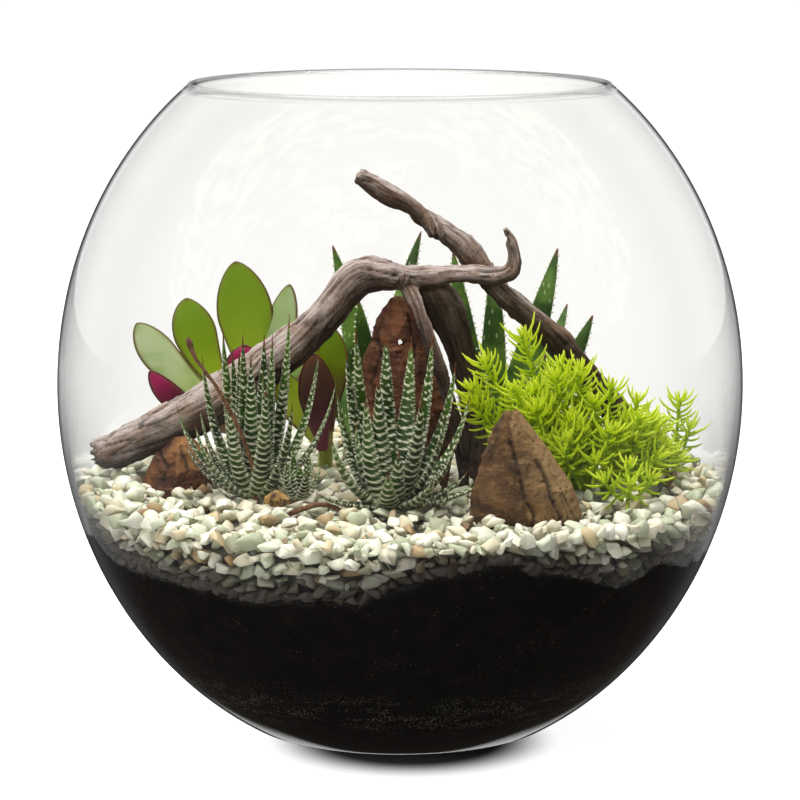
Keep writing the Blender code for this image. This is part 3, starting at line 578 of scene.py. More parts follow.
# %% [markdown]
# ## Pebbles
# Tumbled chips of pale stone, five to eleven millimetres long. A few shapes are enough if each copy
# is turned and stretched its own way: a shape is the hull of some random points with its edges cut
# off. The heap isn't drawn by hand: the stones start at random places in the layer, and then push
# each other apart until they lie against the glass, the layer below and one another. Spots that are
# still bare get one more stone.

# %% Pebble places
PEBBLE_TOP = 108 * MM
LAYER = 10 * MM
SOIL_LINE = (
    (-180, 90), (-158, 95), (-152, 86), (-140, 85), (-132, 84), (-125, 83), (-119, 80), (-110, 82), (-98, 82),
    (-91, 89), (-84, 95), (-79, 96), (-72, 100), (-67, 94), (-60, 91), (-47, 82), (-39, 90), (-28, 85),
    (-19, 84), (10, 88), (50, 86), (90, 90), (130, 86), (180, 90),
)  # fmt: skip
PEBBLE_COUNT = 2850
ON_TOP = 0.58  # share of the stones that start on top; the others start along the glass
SMALLEST, SPREAD = 5.5 * MM, 6.5 * MM  # the largest measure both together, but most are small
ROOM_SHARE = 0.40  # radius that a stone keeps free about itself, as a share of its size
PUSHES = 70
PUSH = 0.28  # how much of an overlap one push takes away
SINK = 0.12 * MM  # how far stones sink at each push
BARE_TRIES = 9000
BARE_WIDTH = 4.6 * MM  # farthest that a spot of the bed may lie from a pebble's middle, seen from above


def soil_line(azimuth):
    """Level of the line between soil and pebbles at the glass."""
    degrees = (np.degrees(azimuth) + 180) % 360 - 180
    at, heights = zip(*SOIL_LINE)
    return np.interp(degrees, at, heights) * MM


def bed_top(x, y):
    """Level of the pebbles' tops: gently uneven, and a little higher at the sides."""
    swell = noise.noise(Vector((x, y, 0)) / (35 * MM)) * 2.2 * MM
    side = 3.0 * MM * max(0.0, abs(x) / BOWL_RADIUS - 0.55) / 0.45
    return PEBBLE_TOP + swell + side


def scatter_pebbles():
    """Random places in the layer that shows: on top, and down along the glass."""
    chance = random.Random(5)
    places, sizes = [], []
    while len(places) < PEBBLE_COUNT:
        angle = chance.uniform(-math.pi, math.pi)
        line = float(soil_line(angle))
        if chance.random() < ON_TOP:
            reach = float(wall_inside(PEBBLE_TOP)) * math.sqrt(chance.random())
            level = PEBBLE_TOP - chance.uniform(0, LAYER)
        else:
            level = chance.uniform(line, PEBBLE_TOP)
            reach = float(wall_inside(level)) - chance.uniform(2, 9) * MM
        places.append((reach * math.cos(angle), reach * math.sin(angle), level))
        sizes.append(SMALLEST + SPREAD * chance.random() ** 1.5)
    return np.array(places), np.array(sizes), chance


def settle(places, sizes, chance):
    """Pushes overlapping stones apart, and back into the layer."""
    reach = sizes * ROOM_SHARE
    caps = np.array([bed_top(x, y) + chance.uniform(-2.2, 1.6) * MM for x, y, _ in places])
    for _ in range(PUSHES):
        tree = kdtree.KDTree(len(places))
        for i, place in enumerate(places):
            tree.insert(place, i)
        tree.balance()
        moves = np.zeros_like(places)
        for i, place in enumerate(places):
            for other, j, distance in tree.find_range(place, reach[i] + reach.max()):
                overlap = reach[i] + reach[j] - distance
                if j != i and overlap > 0:
                    away = (place - np.array(other)) / max(distance, 1e-6)
                    moves[i] += away * overlap * PUSH
        places = places + moves
        places[:, 2] -= SINK
        angle = np.arctan2(places[:, 1], places[:, 0])
        places[:, 2] = np.clip(places[:, 2], soil_line(angle) + 0.3 * reach, caps - 0.55 * reach)
        across = np.hypot(places[:, 0], places[:, 1])
        wall = wall_inside(places[:, 2], reach)
        core_in = wall_inside(places[:, 2]) - LAYER + reach * 0.8 - across
        core_up = PEBBLE_TOP - LAYER + reach * 0.8 - places[:, 2]
        sunk = (core_in > 0) & (core_up > 0)
        outward = sunk & (core_in < core_up)
        places[:, 2] += np.where(sunk & ~outward, core_up, 0)
        wanted = np.minimum(np.where(outward, across + core_in, across), wall)
        places[:, :2] *= (wanted / np.maximum(across, 1e-6))[:, None]
    return places


def fill_bare(places, sizes):
    """A stone more wherever the bed would show bare from above."""
    chance = random.Random(31)
    plan = [Vector((x, y, 0)) for x, y, _ in places]
    levels, added = [], []
    for _ in range(BARE_TRIES):
        angle = chance.uniform(-math.pi, math.pi)
        reach = (float(wall_inside(PEBBLE_TOP)) - 6 * MM) * math.sqrt(chance.random())
        size = chance.uniform(6.5, 9.5) * MM
        spot = Vector((reach * math.cos(angle), reach * math.sin(angle), 0))
        if min((spot - near).length for near in plan) > BARE_WIDTH:
            plan.append(spot)
            levels.append(PEBBLE_TOP - 0.33 * size - chance.uniform(0, 1.2) * MM)
            added.append(size)
    fillers = np.array([(spot.x, spot.y, level) for spot, level in zip(plan[len(places):], levels)])
    return np.vstack([places, fillers]), np.concatenate([sizes, added])


pebble_places, pebble_sizes, pebble_chance = scatter_pebbles()
pebble_places, pebble_sizes = fill_bare(settle(pebble_places, pebble_sizes, pebble_chance), pebble_sizes)
print(f"{len(pebble_places)} pebbles, top at {pebble_places[:, 2].max() / MM:.1f} mm")


# %% Pebble shapes
def chip_shape(seed):
    """A tumbled chip about 1 across: the hull of a few points, with its edges cut off."""
    chance = random.Random(seed)
    work = bmesh.new()
    for _ in range(chance.randint(9, 12)):
        away = Vector((chance.gauss(0, 1), chance.gauss(0, 1), chance.gauss(0, 1))).normalized()
        work.verts.new(away * chance.uniform(0.42, 0.56))
    made = bmesh.ops.convex_hull(work, input=work.verts[:])
    bmesh.ops.delete(work, geom=[v for v in made["geom_interior"] if isinstance(v, bmesh.types.BMVert)])
    bmesh.ops.dissolve_limit(work, angle_limit=0.35, verts=work.verts[:], edges=work.edges[:])
    bmesh.ops.bevel(work, geom=work.edges[:], offset=0.055, segments=1, affect="EDGES")
    points = np.array([v.co for v in work.verts])
    work.verts.index_update()
    faces = [[v.index for v in face.verts] for face in work.faces]
    work.free()
    return points, faces


CHIPS = [chip_shape(seed) for seed in range(24)]
print("a chip has", len(CHIPS[0][0]), "points")


# %% Pebble finish
def pebble_stone():
    """Pale marble: mostly white and grey green, some cream and tan, with veins, a soft polish and painted
    shade.
    """
    stone = new_finish("Pale pebble stone")
    body = stone.ramp(
        stone.mark("tone"), (0.00, "5d4129"), (0.015, "9c7d55"), (0.05, "c8b48c"), (0.16, "dad0b6"),
        (0.42, "e9e4d4"), (0.62, "d9d9c4"), (0.80, "c0c5a9"), (0.95, "a5a88a"), (1.00, "6c6654"),
    )  # fmt: skip
    veins = stone.cloud(stone.place(), 260, 5, 0.6)
    vein = (veins.between(0.48, 0.72) * 0.35, "b9ae90")
    # Painted shade: the mark low turns stones dark brown.
    base = stone.coats(body, vein, (stone.mark("low") * 0.96, "26170c"))
    grit = stone.cloud(stone.place(), 1400, 2)
    bump = stone.bump(grit * 0.4 + veins, 0.25 * MM, 0.5)
    glow = {"Subsurface_Weight": 0.45, "Subsurface_Radius": (1.0, 1.0, 0.9), "Subsurface_Scale": 1.6 * MM}
    return stone.show(stone.surface(base, 0.36 + 0.3 * veins, Normal=bump, IOR=1.5, **glow))


# %% Pebbles
SNUG = 1.08  # stones are made larger than their room by this much, so that they look packed
SIDE_TOP = PEBBLE_TOP - 4 * MM  # stones at the glass below this level count as its side
SHADE_FROM, SHADE_DEPTH = 16 * MM, 12 * MM  # from so far above the soil, shade is painted on them, darker downwards


def turned(points, chance, size):
    """The chip turned at random, flattened a little and scaled."""
    flat = np.array([1.12, chance.uniform(0.75, 1.0), chance.uniform(0.52, 0.78)]) * size
    tilt = Vector((chance.gauss(0, 0.35), chance.gauss(0, 0.35), 1)).normalized()
    turn = tilt.to_track_quat("Z", "Y").to_matrix()
    spin = chance.uniform(0, math.tau)
    about = np.array([[math.cos(spin), -math.sin(spin), 0], [math.sin(spin), math.cos(spin), 0], [0, 0, 1]])
    return (points * flat) @ (np.array(turn) @ about).T


def inside_glass(points, gap=0.25 * MM):
    """Points that would cross the glass are laid against it."""
    across = np.hypot(points[:, 0], points[:, 1])
    limit = wall_inside(points[:, 2], gap)
    points[:, :2] *= np.minimum(1, limit / np.maximum(across, 1e-9))[:, None]
    return points


def pebbles():
    chance = random.Random(9)
    heaps = {"pebbles_front": Heap(), "pebbles_back": Heap(), "pebbles_side": Heap()}
    for place, size in zip(pebble_places, pebble_sizes):
        shape, faces = CHIPS[chance.randrange(len(CHIPS))]
        points = inside_glass(turned(shape, chance, size * SNUG) + place)
        across = math.hypot(place[0], place[1])
        side = across > wall_inside(place[2]) - LAYER and place[2] < SIDE_TOP
        name = "pebbles_side" if side else "pebbles_front" if place[1] < 0 else "pebbles_back"
        # Painted shade on the side stones near the soil, growing downwards.
        low = 0.0
        if side:
            line = float(soil_line(math.atan2(place[1], place[0])))
            low = min(1.0, max(0.0, (line + SHADE_FROM - place[2]) / SHADE_DEPTH))
        heaps[name].add(points, faces, tone=chance.random(), low=low)
    finish = pebble_stone()
    for name, heap in heaps.items():
        heap.piece(name, finish, "pale_pebble", ["pebble_bed"] if name == "pebbles_front" else (), sharp=66)


pebbles()

# %% [markdown]
# ## Soil
# Potting soil fills the bottom of the bowl and keeps its shape. It touches the glass, and wet soil
# shows right out to the bowl's outline because the curved wall magnifies it, so its skin lies just
# inside the wall's inner face. Its edge follows the undersides of the pebbles that press into it.

# %% Soil
SOIL_STEPS = 480
SOIL_MOUND = 92 * MM  # top of the soil in the middle
SKIN = 0.12 * MM  # how far the soil reaches into the glass, so that nothing shines between them


def soil_edge():
    """Level of the soil's edge at each step round, dented by the pebbles that lie on it."""
    angles = np.linspace(-math.pi, math.pi, SOIL_STEPS, endpoint=False)
    levels = soil_line(angles) + 2.5 * MM
    for place, size in zip(pebble_places, pebble_sizes):
        across = math.hypot(place[0], place[1])
        if across < wall_inside(place[2]) - 5 * MM or place[2] > soil_line(0) + 25 * MM:
            continue
        middle = math.atan2(place[1], place[0])
        apart = (np.abs((angles - middle + math.pi) % math.tau - math.pi)) * across
        width, height = size * 0.48, size * 0.40
        under = place[2] - height * np.sqrt(np.clip(1 - (apart / width) ** 2, 0, 1))
        if place[2] > soil_line(middle) - 1 * MM:
            levels = np.where(apart < width, np.minimum(levels, under), levels)
    return angles, levels


def damp_soil():
    """Nearly black crumbs, a little paler and redder in places, with a few pale grains, and painted glints
    low down.
    """
    soil = new_finish("Damp soil")
    place = soil.place()
    crumbs = soil.cells(place, 900)
    lumps = soil.cloud(place, 120, 6, 0.65)
    dark = soil.mix(lumps.between(0.4, 0.7), "050302", "110a07")
    grains = soil.cells(place, 420)
    speck = (0.13 - grains).between(0.0, 0.06) * soil.cloud(place, 60, 2).between(0.46, 0.6)
    level = soil.add("SeparateXYZ", None, {0: place}, "Z")
    # Painted glints: pale streaky specks in a band 12 to 42 mm up, where the glass foot shines.
    foot = level.between(12 * MM, 22 * MM) * (42 * MM - level).between(0, 18 * MM)
    streaks = soil.cloud(soil.stretched(place, (1, 1, 5)), 55, 3).between(0.42, 0.62)
    painted_glint = (0.34 - soil.cells(soil.stretched(place, (0.7, 0.7, 1.4)), 1300)).between(0.0, 0.14) * streaks
    base = soil.coats(dark, (speck * 0.5, "8c8074"), (painted_glint * foot * 0.7, "9c968a"))
    bump = soil.bump(crumbs + lumps * 2, 0.5 * MM, 0.8)
    return soil.show(soil.surface(base, 0.9, Normal=bump, Specular_IOR_Level=0.2))


def rings_at(rings, angles):
    """Level rings of points, each from a radius and a level that may change on the way round."""
    even = np.ones(len(angles))
    return np.array([np.stack([r * np.cos(angles), r * np.sin(angles), z * even], 1) for r, z in rings])


def soil_fill():
    angles, edge = soil_edge()
    rings = [(radius, level - SKIN) for radius, level in INNER[INNER[:, 1] < HEEL_LEVEL][1:]]
    for share in np.linspace(0, 1, 24):
        level = HEEL_LEVEL + (edge - HEEL_LEVEL) * share
        rings.append((wall_inside(level, -SKIN), level))
    inner = wall_inside(edge, 3 * MM)
    rings += [(inner, edge + 1.5 * MM), (inner * 0.6, SOIL_MOUND)]
    heap = Heap()
    heap.add(*stacked(rings_at(rings, angles)))
    heap.piece("soil_fill", damp_soil(), "dark_soil", ["soil"])


soil_fill()

# %% [markdown]
# Under the pebbles that show lie more of the same. Only slits of them can be seen, so a bumpy block of the
# same stone stands for them, a layer down, painted nearly all dark brown as the shade in the slits.


# %% Pebbles underneath
CORE_TOP = PEBBLE_TOP - 7.5 * MM
CORE_STEPS = 90


def pebbles_below():
    angles = np.linspace(-math.pi, math.pi, CORE_STEPS, endpoint=False)
    foot = np.minimum(soil_line(angles) + 2 * MM, CORE_TOP - 2 * MM)
    levels = [CORE_TOP + (foot - CORE_TOP) * share for share in np.linspace(1, 0, 8)[:-1]]
    rings = [(wall_inside(level, 7 * MM), level) for level in levels]
    reach = wall_inside(CORE_TOP) - 6 * MM
    rings += [(reach * share, CORE_TOP) for share in (*np.linspace(0.97, 0.05, 34), 0.02)]
    points, faces = stacked(rings_at(rings, angles))
    points = points + wrinkle_vectors(points, 5 * MM, 3.0) * 1.6 * MM
    heap = Heap()
    # Painted shade: low=0.93 makes the block almost wholly dark brown.
    heap.add(points, faces, tone=0.9 + 0.1 * wrinkle(points, 6 * MM, 8.0), low=0.93)
    heap.piece("pebbles_below", bpy.data.materials["Pale pebble stone"], "pale_pebble")


pebbles_below()

# %% [markdown]
# ## Driftwood
# A crooked root makes the arch: a thick arm, a flat leg and a thin one. A thinner branch leans on it
# from behind. Each limb is a row of rings, and a voxel remesh melts the limbs into one skin, as wood
# grows. Weathering leaves the hard grain proud, so the skin is then moved in and out along streaks
# that follow each limb, with a few long cracks.

# %% Driftwood rows
ARM = (
    (-135, 2, 117.5, 6.5), (-129, 3, 119.5, 8.0), (-120, 4, 123.0, 8.6), (-105, 6, 129.5, 9.4),
    (-90, 7, 137.0, 9.8), (-71, 8, 148.0, 9.6), (-57, 8, 158.5, 9.0), (-45, 7, 167.5, 8.4),
    (-32, 6, 181.0, 7.6), (-24, 6, 191.5, 8.0), (-17, 6, 197.5, 7.8), (-8, 6, 197.8, 6.6),
    (2, 6, 196.5, 5.6), (13, 6, 197.0, 5.0), (24, 5, 198.0, 3.9), (35, 4, 197.8, 3.4),
    (43, 4, 197.8, 3.6), (48.5, 4, 200.5, 3.5), (50, 4, 206.5, 3.0), (48.8, 4, 213, 2.3), (46, 4, 219, 1.5),
)  # fmt: skip
WIDE_LEG = (
    (12, 8, 198, 6.0), (15, 11, 190, 8.6), (20, 15, 181, 8.8), (25, 17, 170, 7.6), (28, 18, 158, 6.2),
    (31, 18, 145, 5.0), (33, 18, 131, 4.6), (34, 18, 117, 4.6), (34, 18, 97, 4.2),
)  # fmt: skip
THIN_LEG = (
    (3, 4, 194, 4.0), (8, -2, 184, 3.6), (13, -7, 170, 3.2), (18, -9.5, 155, 3.0), (23.5, -10, 139, 3.0),
    (27, -10, 122, 3.2), (28, -10, 98, 2.8),
)  # fmt: skip
BRANCH = (
    (-18.5, 13.5, 241, 2.6), (-13, 13.5, 237.8, 4.2), (-6, 13.5, 233.6, 4.4), (4, 13.5, 228.2, 4.2),
    (13, 13.5, 221, 4.4), (24, 13, 213, 4.9), (31, 12.5, 206.5, 5.4), (37, 12.5, 197.5, 5.2),
    (45, 13.5, 188.5, 4.8), (56, 16, 179.0, 4.8), (70, 19, 166.5, 5.8), (79, 21, 155, 5.8),
    (89, 24, 143, 6.0), (99, 28, 131.5, 6.0), (108, 30, 120, 5.6), (115, 31, 109, 5.0), (119, 32, 101, 4.2),
)  # fmt: skip
BRANCH_NUB = ((12, 12.5, 222, 3.6), (14, 10.5, 217.5, 2.8), (15, 9.5, 214.5, 1.6))


# %% Limbs
def limb(rows, sides, seed, steps, flatness=1.0, grain=0.10, fine=4):
    """Curve, directions and outline of a limb: the ridges of the plain limb, with finer rings between."""
    smooth = smooth_rows(rows, steps * fine)
    across, over = carried(smooth[:, :3] * MM, (0, 1, 0))
    plain = np.array([
        [
            1 + grain * 2.2 * noise.noise((k * 2.7 + seed, i * 0.22, seed * 1.3))
            + grain * noise.noise((seed, i * 0.45, k * 0.2))
            for k in range(sides)
        ]
        for i in range(steps)
    ])  # fmt: skip
    turns = np.arange(sides * fine) / fine
    k = turns.astype(int)
    share = (1 - np.cos(math.pi * (turns - k))) / 2
    wide = plain[:, k] * (1 - share) + plain[:, (k + 1) % sides] * share
    rows_at = np.linspace(0, steps - 1, steps * fine)
    reach = np.array([np.interp(rows_at, np.arange(steps), column) for column in wide.T]).T
    reach = reach * smooth[:, 3:] * MM
    angle = math.tau * turns / sides
    outline = np.stack([np.cos(angle) * reach * flatness, np.sin(angle) * reach], -1)
    return smooth[:, :3] * MM, across, over, outline


def melted(heap, voxel, smoothing):
    """The heap's forms joined into one skin by a voxel remesh."""
    thing = new_object("melt", heap.mesh("melt"))
    remesh = thing.modifiers.new("Melt", "REMESH")
    remesh.mode = "VOXEL"
    remesh.voxel_size = voxel
    relax = thing.modifiers.new("Relax", "SMOOTH")
    relax.factor, relax.iterations = 0.5, smoothing
    done = bpy.data.meshes.new_from_object(thing.evaluated_get(bpy.context.evaluated_depsgraph_get()))
    bpy.data.objects.remove(thing)
    return done


def mesh_arrays(mesh):
    """Points and the directions in which the skin faces at them."""
    points, normals = np.empty(len(mesh.vertices) * 3), np.empty(len(mesh.vertices) * 3)
    mesh.vertices.foreach_get("co", points)
    mesh.vertices.foreach_get("normal", normals)
    return points.reshape(-1, 3), normals.reshape(-1, 3)


def write_back(mesh, points, **marks):
    mesh.vertices.foreach_set("co", points.astype(np.float32).ravel())
    keep_marks(mesh, marks)
    mesh.update()


# %% Weathered wood
GRAIN_STRETCH = 0.09


def grain_place(points, limbs):
    """Where each point is in its limb's own wood: round the limb, and along it much shortened."""
    centres = np.concatenate([limb[0] for limb in limbs])
    across = np.concatenate([limb[1] for limb in limbs])
    over = np.concatenate([limb[2] for limb in limbs])
    along = []
    for number, limb in enumerate(limbs):
        steps = np.linalg.norm(np.diff(limb[0], axis=0), axis=1)
        along.append(np.concatenate([[0], np.cumsum(steps)]) + number * 0.7)
    along = np.concatenate(along)
    tree = kdtree.KDTree(len(centres))
    for i, centre in enumerate(centres):
        tree.insert(centre, i)
    tree.balance()
    nearest = np.array([tree.find(point)[1] for point in points])
    off = points - centres[nearest]
    a = (off * across[nearest]).sum(1)
    b = (off * over[nearest]).sum(1)
    return np.stack([a, b, along[nearest] * GRAIN_STRETCH], 1)


def weathered_wood(name, dark, middle, light):
    """Dry grey-brown wood: streaks along the grain, with painted shade in cracks and on undersides, and
    painted light on tops.
    """
    wood = new_finish(name)
    grain = wood.place("grain")
    streak = wood.cloud(grain, 900, 4, 0.6)
    broad = wood.cloud(grain, 260, 3, 0.5)
    fleck = wood.cloud(wood.place(), 700, 4, 0.7)
    fibres = 0.45 * streak + 0.35 * broad + 0.25 * fleck
    body = wood.ramp(fibres, (0.34, dark), (0.47, middle), (0.60, light), (0.8, middle))
    up = wood.mark("up")
    base = wood.coats(
        body,
        (wood.cloud(wood.place(), 55, 3).between(0.48, 0.68) * 0.5, "7d583f"),
        # Painted shade: dark brown where the skin faces down or lies low right of the arm.
        ((0.5 - up).between(-0.22, 0.32) * 0.85, "2c1a0f"),
        # Painted light: pale lilac grey along the streaks where the skin faces up.
        (up.between(0.62, 0.92) * streak.between(0.36, 0.56) * 0.6, "c2b4ae"),
        # Painted shade in the cracks and knot holes.
        (wood.mark("crack"), "170e08"),
    )
    bump = wood.bump(streak + 0.5 * fleck, 0.6 * MM, 0.8)
    return wood.show(wood.surface(base, 0.85, Normal=bump, Specular_IOR_Level=0.3))


KNOTS = ((-42, -2, 177), (-108, -4, 133), (-2, -1, 199), (30, -4, 170), (74, 13, 166))
BROKEN_END = -127 * MM  # the arm's outer end is torn from here on
SHADE_BELOW_TOP = 188 * MM  # shade is painted on the wood right of the arm, darker the further it is below this level


def driftwood(name, limbs, finish, seed, roughness=1.0):
    heap = Heap()
    for limb_rows in limbs:
        heap.add(*sweep(*limb_rows))
    mesh = melted(heap, 0.85 * MM, 3)
    points, normals = mesh_arrays(mesh)
    grain = grain_place(points, limbs)
    streaks = wrinkle(grain, 1.1 * MM, seed) * 0.28 + wrinkle(grain, 2.6 * MM, seed + 4) * 0.45
    lumps = wrinkle(points, 7 * MM, seed) * 0.7 + wrinkle(points, 2.2 * MM, seed + 2) * 0.25 * roughness
    lumps = lumps + wrinkle(points, 15 * MM, seed + 11) * 1.1
    lumps = lumps - np.abs(wrinkle(grain, 3.4 * MM, seed + 13)) * 1.2 + 0.3
    split = 1 - np.clip(np.abs(wrinkle(grain, 4.0 * MM, seed + 9)) / 0.085, 0, 1)
    split = split * np.clip(wrinkle(points, 20 * MM, seed + 5) * 3 + 0.75, 0, 1)
    move = (streaks + lumps) * 0.95 - split * 1.7
    for knot in KNOTS:
        apart = np.linalg.norm(points - np.array(knot) * MM, axis=1) / MM
        move = move + 1.1 * np.exp(-((apart / 5.0) ** 2)) - 2.4 * np.exp(-((apart / 2.0) ** 2))
        split = np.maximum(split, np.exp(-((apart / 1.9) ** 2)))
    moved = points + normals * (move * MM)[:, None]
    torn = np.clip((BROKEN_END - points[:, 0]) / (7 * MM), 0, 1)
    moved[:, 0] += torn * (1.0 + 6.0 * wrinkle(points * (0.1, 1, 1), 2.0 * MM, seed + 6)) * MM
    # Painted shade on the lower wood right of the arm, and painted light and shade by facing, in the mark up.
    shade_below = np.clip((SHADE_BELOW_TOP - points[:, 2]) / (70 * MM), 0, 0.45) * (points[:, 0] > 5 * MM)
    up = np.clip(0.5 + 0.5 * normals[:, 2] + 0.12 * lumps - shade_below, 0, 1)
    write_back(mesh, moved, grain=grain, crack=split * 0.92, up=up)
    put_on(name + "_wood", mesh, finish, [name])


def wood_pieces():
    grey = weathered_wood("Grey brown wood", "1f150e", "6e594b", "ab9b92")
    arch = [limb(ARM, 8, 1.0, 30), limb(WIDE_LEG, 8, 5.0, 14, 0.55), limb(THIN_LEG, 6, 9.0, 11, 0.6)]
    driftwood("driftwood_arch", arch, grey, 1.0)
    brown = weathered_wood("Dark rough wood", "1a120c", "5c493c", "9a897b")
    branch = [limb(BRANCH, 8, 13.0, 26), limb(BRANCH_NUB, 6, 17.0, 4)]
    driftwood("driftwood_branch", branch, brown, 13.0, 2.0)


wood_pieces()

# %% [markdown]
# ## Stones
# Three lava and sandstone chunks. Broken stone is flat facets with worn edges, pits and cracks. Each
# block keeps the outline of its plain solid. A remesh gives it an even skin, planes then cut off what
# stands out, as a chisel would, and the skin is moved: slow noise for steps, finer noise for grain and
# pits, flattened noise for layers. The long cracks are drawn, as paths across and up the front.

# %% Stones
BLOCK_OUTLINE = (
    (1.0, 0.1), (0.78, 0.8), (0.1, 1.0), (-0.7, 0.85),
    (-1.0, 0.1), (-0.62, -0.72), (-0.05, -1.0), (0.6, -0.6),
)  # fmt: skip
TALL_STONE = (
    (99, -16, 20, -4, 24), (108, -19, 23, -4.5, 25), (122, -20, 25, -4.5, 24), (138, -20, 25.5, -4, 22),
    (152, -19, 20.5, -3, 20), (160, -16.5, 17, -2, 18), (170, -13, 13, -1, 16), (179, -10.5, 10.5, 0, 15),
    (185, -6.5, 10.5, 2, 13), (187.5, -4, 4.5, 4, 10),
)  # fmt: skip
FRONT_STONE = (
    (97, 36, 76, -92, -62), (107, 30.5, 78.5, -94, -60), (115, 30, 75.5, -92, -61),
    (124, 32, 69, -90, -63), (136, 35.5, 61, -86, -66), (145, 38, 54.5, -82, -69), (151.5, 42, 49, -78, -73),
)  # fmt: skip
LEFT_STONE = (
    (97, -112, -84, -14, 12), (104, -115, -81, -15, 14), (113, -113, -82, -15, 14),
    (121, -107, -86, -11, 12), (127, -101, -92, -4, 6),
)  # fmt: skip
TALL_CRACKS = (((-12, 176), (-9, 164), (-13, 150), (-11, 138)), ((4, 181), (7, 166), (5, 155)))
FRONT_CRACKS = (
    ((50, 123), (52, 117), (56, 110), (55, 104)),
    ((57, 131), (61, 123), (63, 116), (67, 108)),
    ((45, 140), (48, 131)),
)
LEFT_CRACKS = (((-108, 122), (-102, 116), (-104, 109)), ((-96, 124), (-92, 114)))


def block(rows, seed):
    """The plain stone's corners, as a closed form."""
    rings = []
    for level, left, right, front, back in rows:
        ring = []
        for x, y in BLOCK_OUTLINE:
            rough = 1 + 0.16 * noise.noise((x * 2 + seed, y * 2, level * 0.06))
            across = (left + right) / 2 + x * (right - left) / 2 * rough
            deep = (front + back) / 2 + y * (back - front) / 2 * rough
            ring.append((across * MM, deep * MM, level * MM))
        rings.append(ring)
    return stacked(np.array(rings))


def broken_stone(name, dark, middle, light, grit):
    stone = new_finish(name)
    place = stone.place()
    patches = stone.cloud(place, 75, 6, 0.62)
    grains = stone.cloud(place, 1100, 3, 0.7)
    pits = stone.cells(place, 330)
    body = stone.ramp(patches * 0.75 + grains * 0.25, (0.34, dark), (0.48, middle), (0.62, light))
    seams = stone.cloud(stone.stretched(place, (0.35, 0.35, 1.6)), 190, 4, 0.6)
    base = stone.coats(
        body,
        (seams.between(0.58, 0.66) * 0.3, grit),
        ((0.44 - seams).between(0.0, 0.08) * 0.5, dark),
        # Painted light with some wear: lit facets and grain wear turn pale.
        (stone.mark("worn"), grit),
        # Painted shade in the cracks and pits.
        (stone.mark("crack"), "150b06"),
    )
    bump = stone.bump(grains + pits * 1.2 + patches, 0.7 * MM, 0.9)
    return stone.show(stone.surface(base, 0.88, Normal=bump))


def cleave(points, count, seed):
    """Flattens what stands out, plane after plane, as a chisel would."""
    chance = random.Random(seed)
    for _ in range(count):
        way = np.array([chance.gauss(0, 1), chance.gauss(0, 1) - 0.4, chance.gauss(0, 0.45) + 0.15])
        way = way / np.linalg.norm(way)
        reach = points @ way
        over = np.maximum(0, reach - np.quantile(reach, chance.uniform(0.93, 0.985)))
        points = points - way * np.minimum(over, 2.0 * MM)[:, None] * 0.9
    return points


def groove(points, normals, paths, width):
    """1 along the given cracks, drawn across and up on the side that faces the front, and 0 off them."""
    flat = points[:, [0, 2]] / MM
    nearest = np.full(len(points), 99.0)
    for path in paths:
        for a, b in zip(np.array(path, float), np.array(path[1:], float)):
            share = np.clip((flat - a) @ (b - a) / ((b - a) @ (b - a)), 0, 1)
            nearest = np.minimum(nearest, np.linalg.norm(flat - a - share[:, None] * (b - a), axis=1))
    nearest = nearest + wrinkle(points, 2.5 * MM, 4.0) * 0.7
    return np.exp(-((nearest / width) ** 2)) * (normals[:, 1] < 0)


def rock(name, rows, seed, finish, layers, cracks, painted_light_way):
    heap = Heap()
    heap.add(*block(rows, seed))
    mesh = melted(heap, 0.8 * MM, 1)
    points, normals = mesh_arrays(mesh)
    planes = wrinkle(points, 14 * MM, seed) * 1.2
    steps = np.round(planes / 0.6) * 0.6
    points = cleave(points + normals * ((planes * 0.25 + steps * 0.35 + 0.5) * MM)[:, None], 9, int(seed))
    grain = wrinkle(points, 4 * MM, seed + 1) * 0.32 + wrinkle(points, 1.5 * MM, seed + 2) * 0.28
    strata = wrinkle(points * (0.16, 0.16, 1), 3.2 * MM, seed + 8)
    grain = grain + layers * (np.clip(strata * 3, -0.6, 0.6))
    pit = np.clip(wrinkle(points, 1.8 * MM, seed + 3) - 0.38, 0, 1)
    tilt = points @ np.array([[1, 0, 0.5], [0, 1, 0], [-0.5, 0, 1.0]]).T
    split = 1 - np.clip(np.abs(wrinkle(tilt * (1, 1, 0.3), 9 * MM, seed + 7)) / 0.03, 0, 1)
    split = split * np.clip(wrinkle(points, 16 * MM, seed + 5) * 3 + 0.2, 0, 1)
    split = np.maximum(split, groove(points, normals, cracks, 0.8))
    move = grain - 0.3 - pit * 1.2 - split * 1.3
    # Painted light: facets that face the given way are painted pale; this is most of the worn mark, the rest
    # is wear along the grain.
    lit = normals @ np.array(painted_light_way)
    top = np.clip((lit - 0.5) * 2.0 + 0.5 * wrinkle(points, 9 * MM, seed + 9), 0, 1)
    worn = np.clip(np.clip(grain * 2 - 0.2, 0, 1) * 0.25 + top * 0.6, 0, 0.8)
    # Painted shade in the cracks and pits.
    crack = np.clip(split + pit * 2, 0, 1) * 0.8
    write_back(mesh, points + normals * (move * MM)[:, None], worn=worn, crack=crack)
    put_on(name + "_chunk", mesh, finish, [name], sharp=30)


def rocks():
    red = broken_stone("Red lava stone", "2a1208", "57301a", "7d4a2a", "b88258")
    brown = broken_stone("Brown sandstone", "281708", "4f3316", "74522a", "b8925f")
    orange = broken_stone("Orange sandstone", "2a1207", "532a0f", "7e4b1c", "c08a50")
    # The last numbers of each stone are the way from which light is painted onto its facets.
    rock("rock_tall", TALL_STONE, 2.0, red, 0.3, TALL_CRACKS, (0.25, -0.1, 0.96))
    rock("rock_front", FRONT_STONE, 6.0, brown, 0.1, FRONT_CRACKS, (0.78, -0.35, 0.52))
    rock("rock_left", LEFT_STONE, 11.0, orange, 0.3, LEFT_CRACKS, (0.3, -0.2, 0.93))


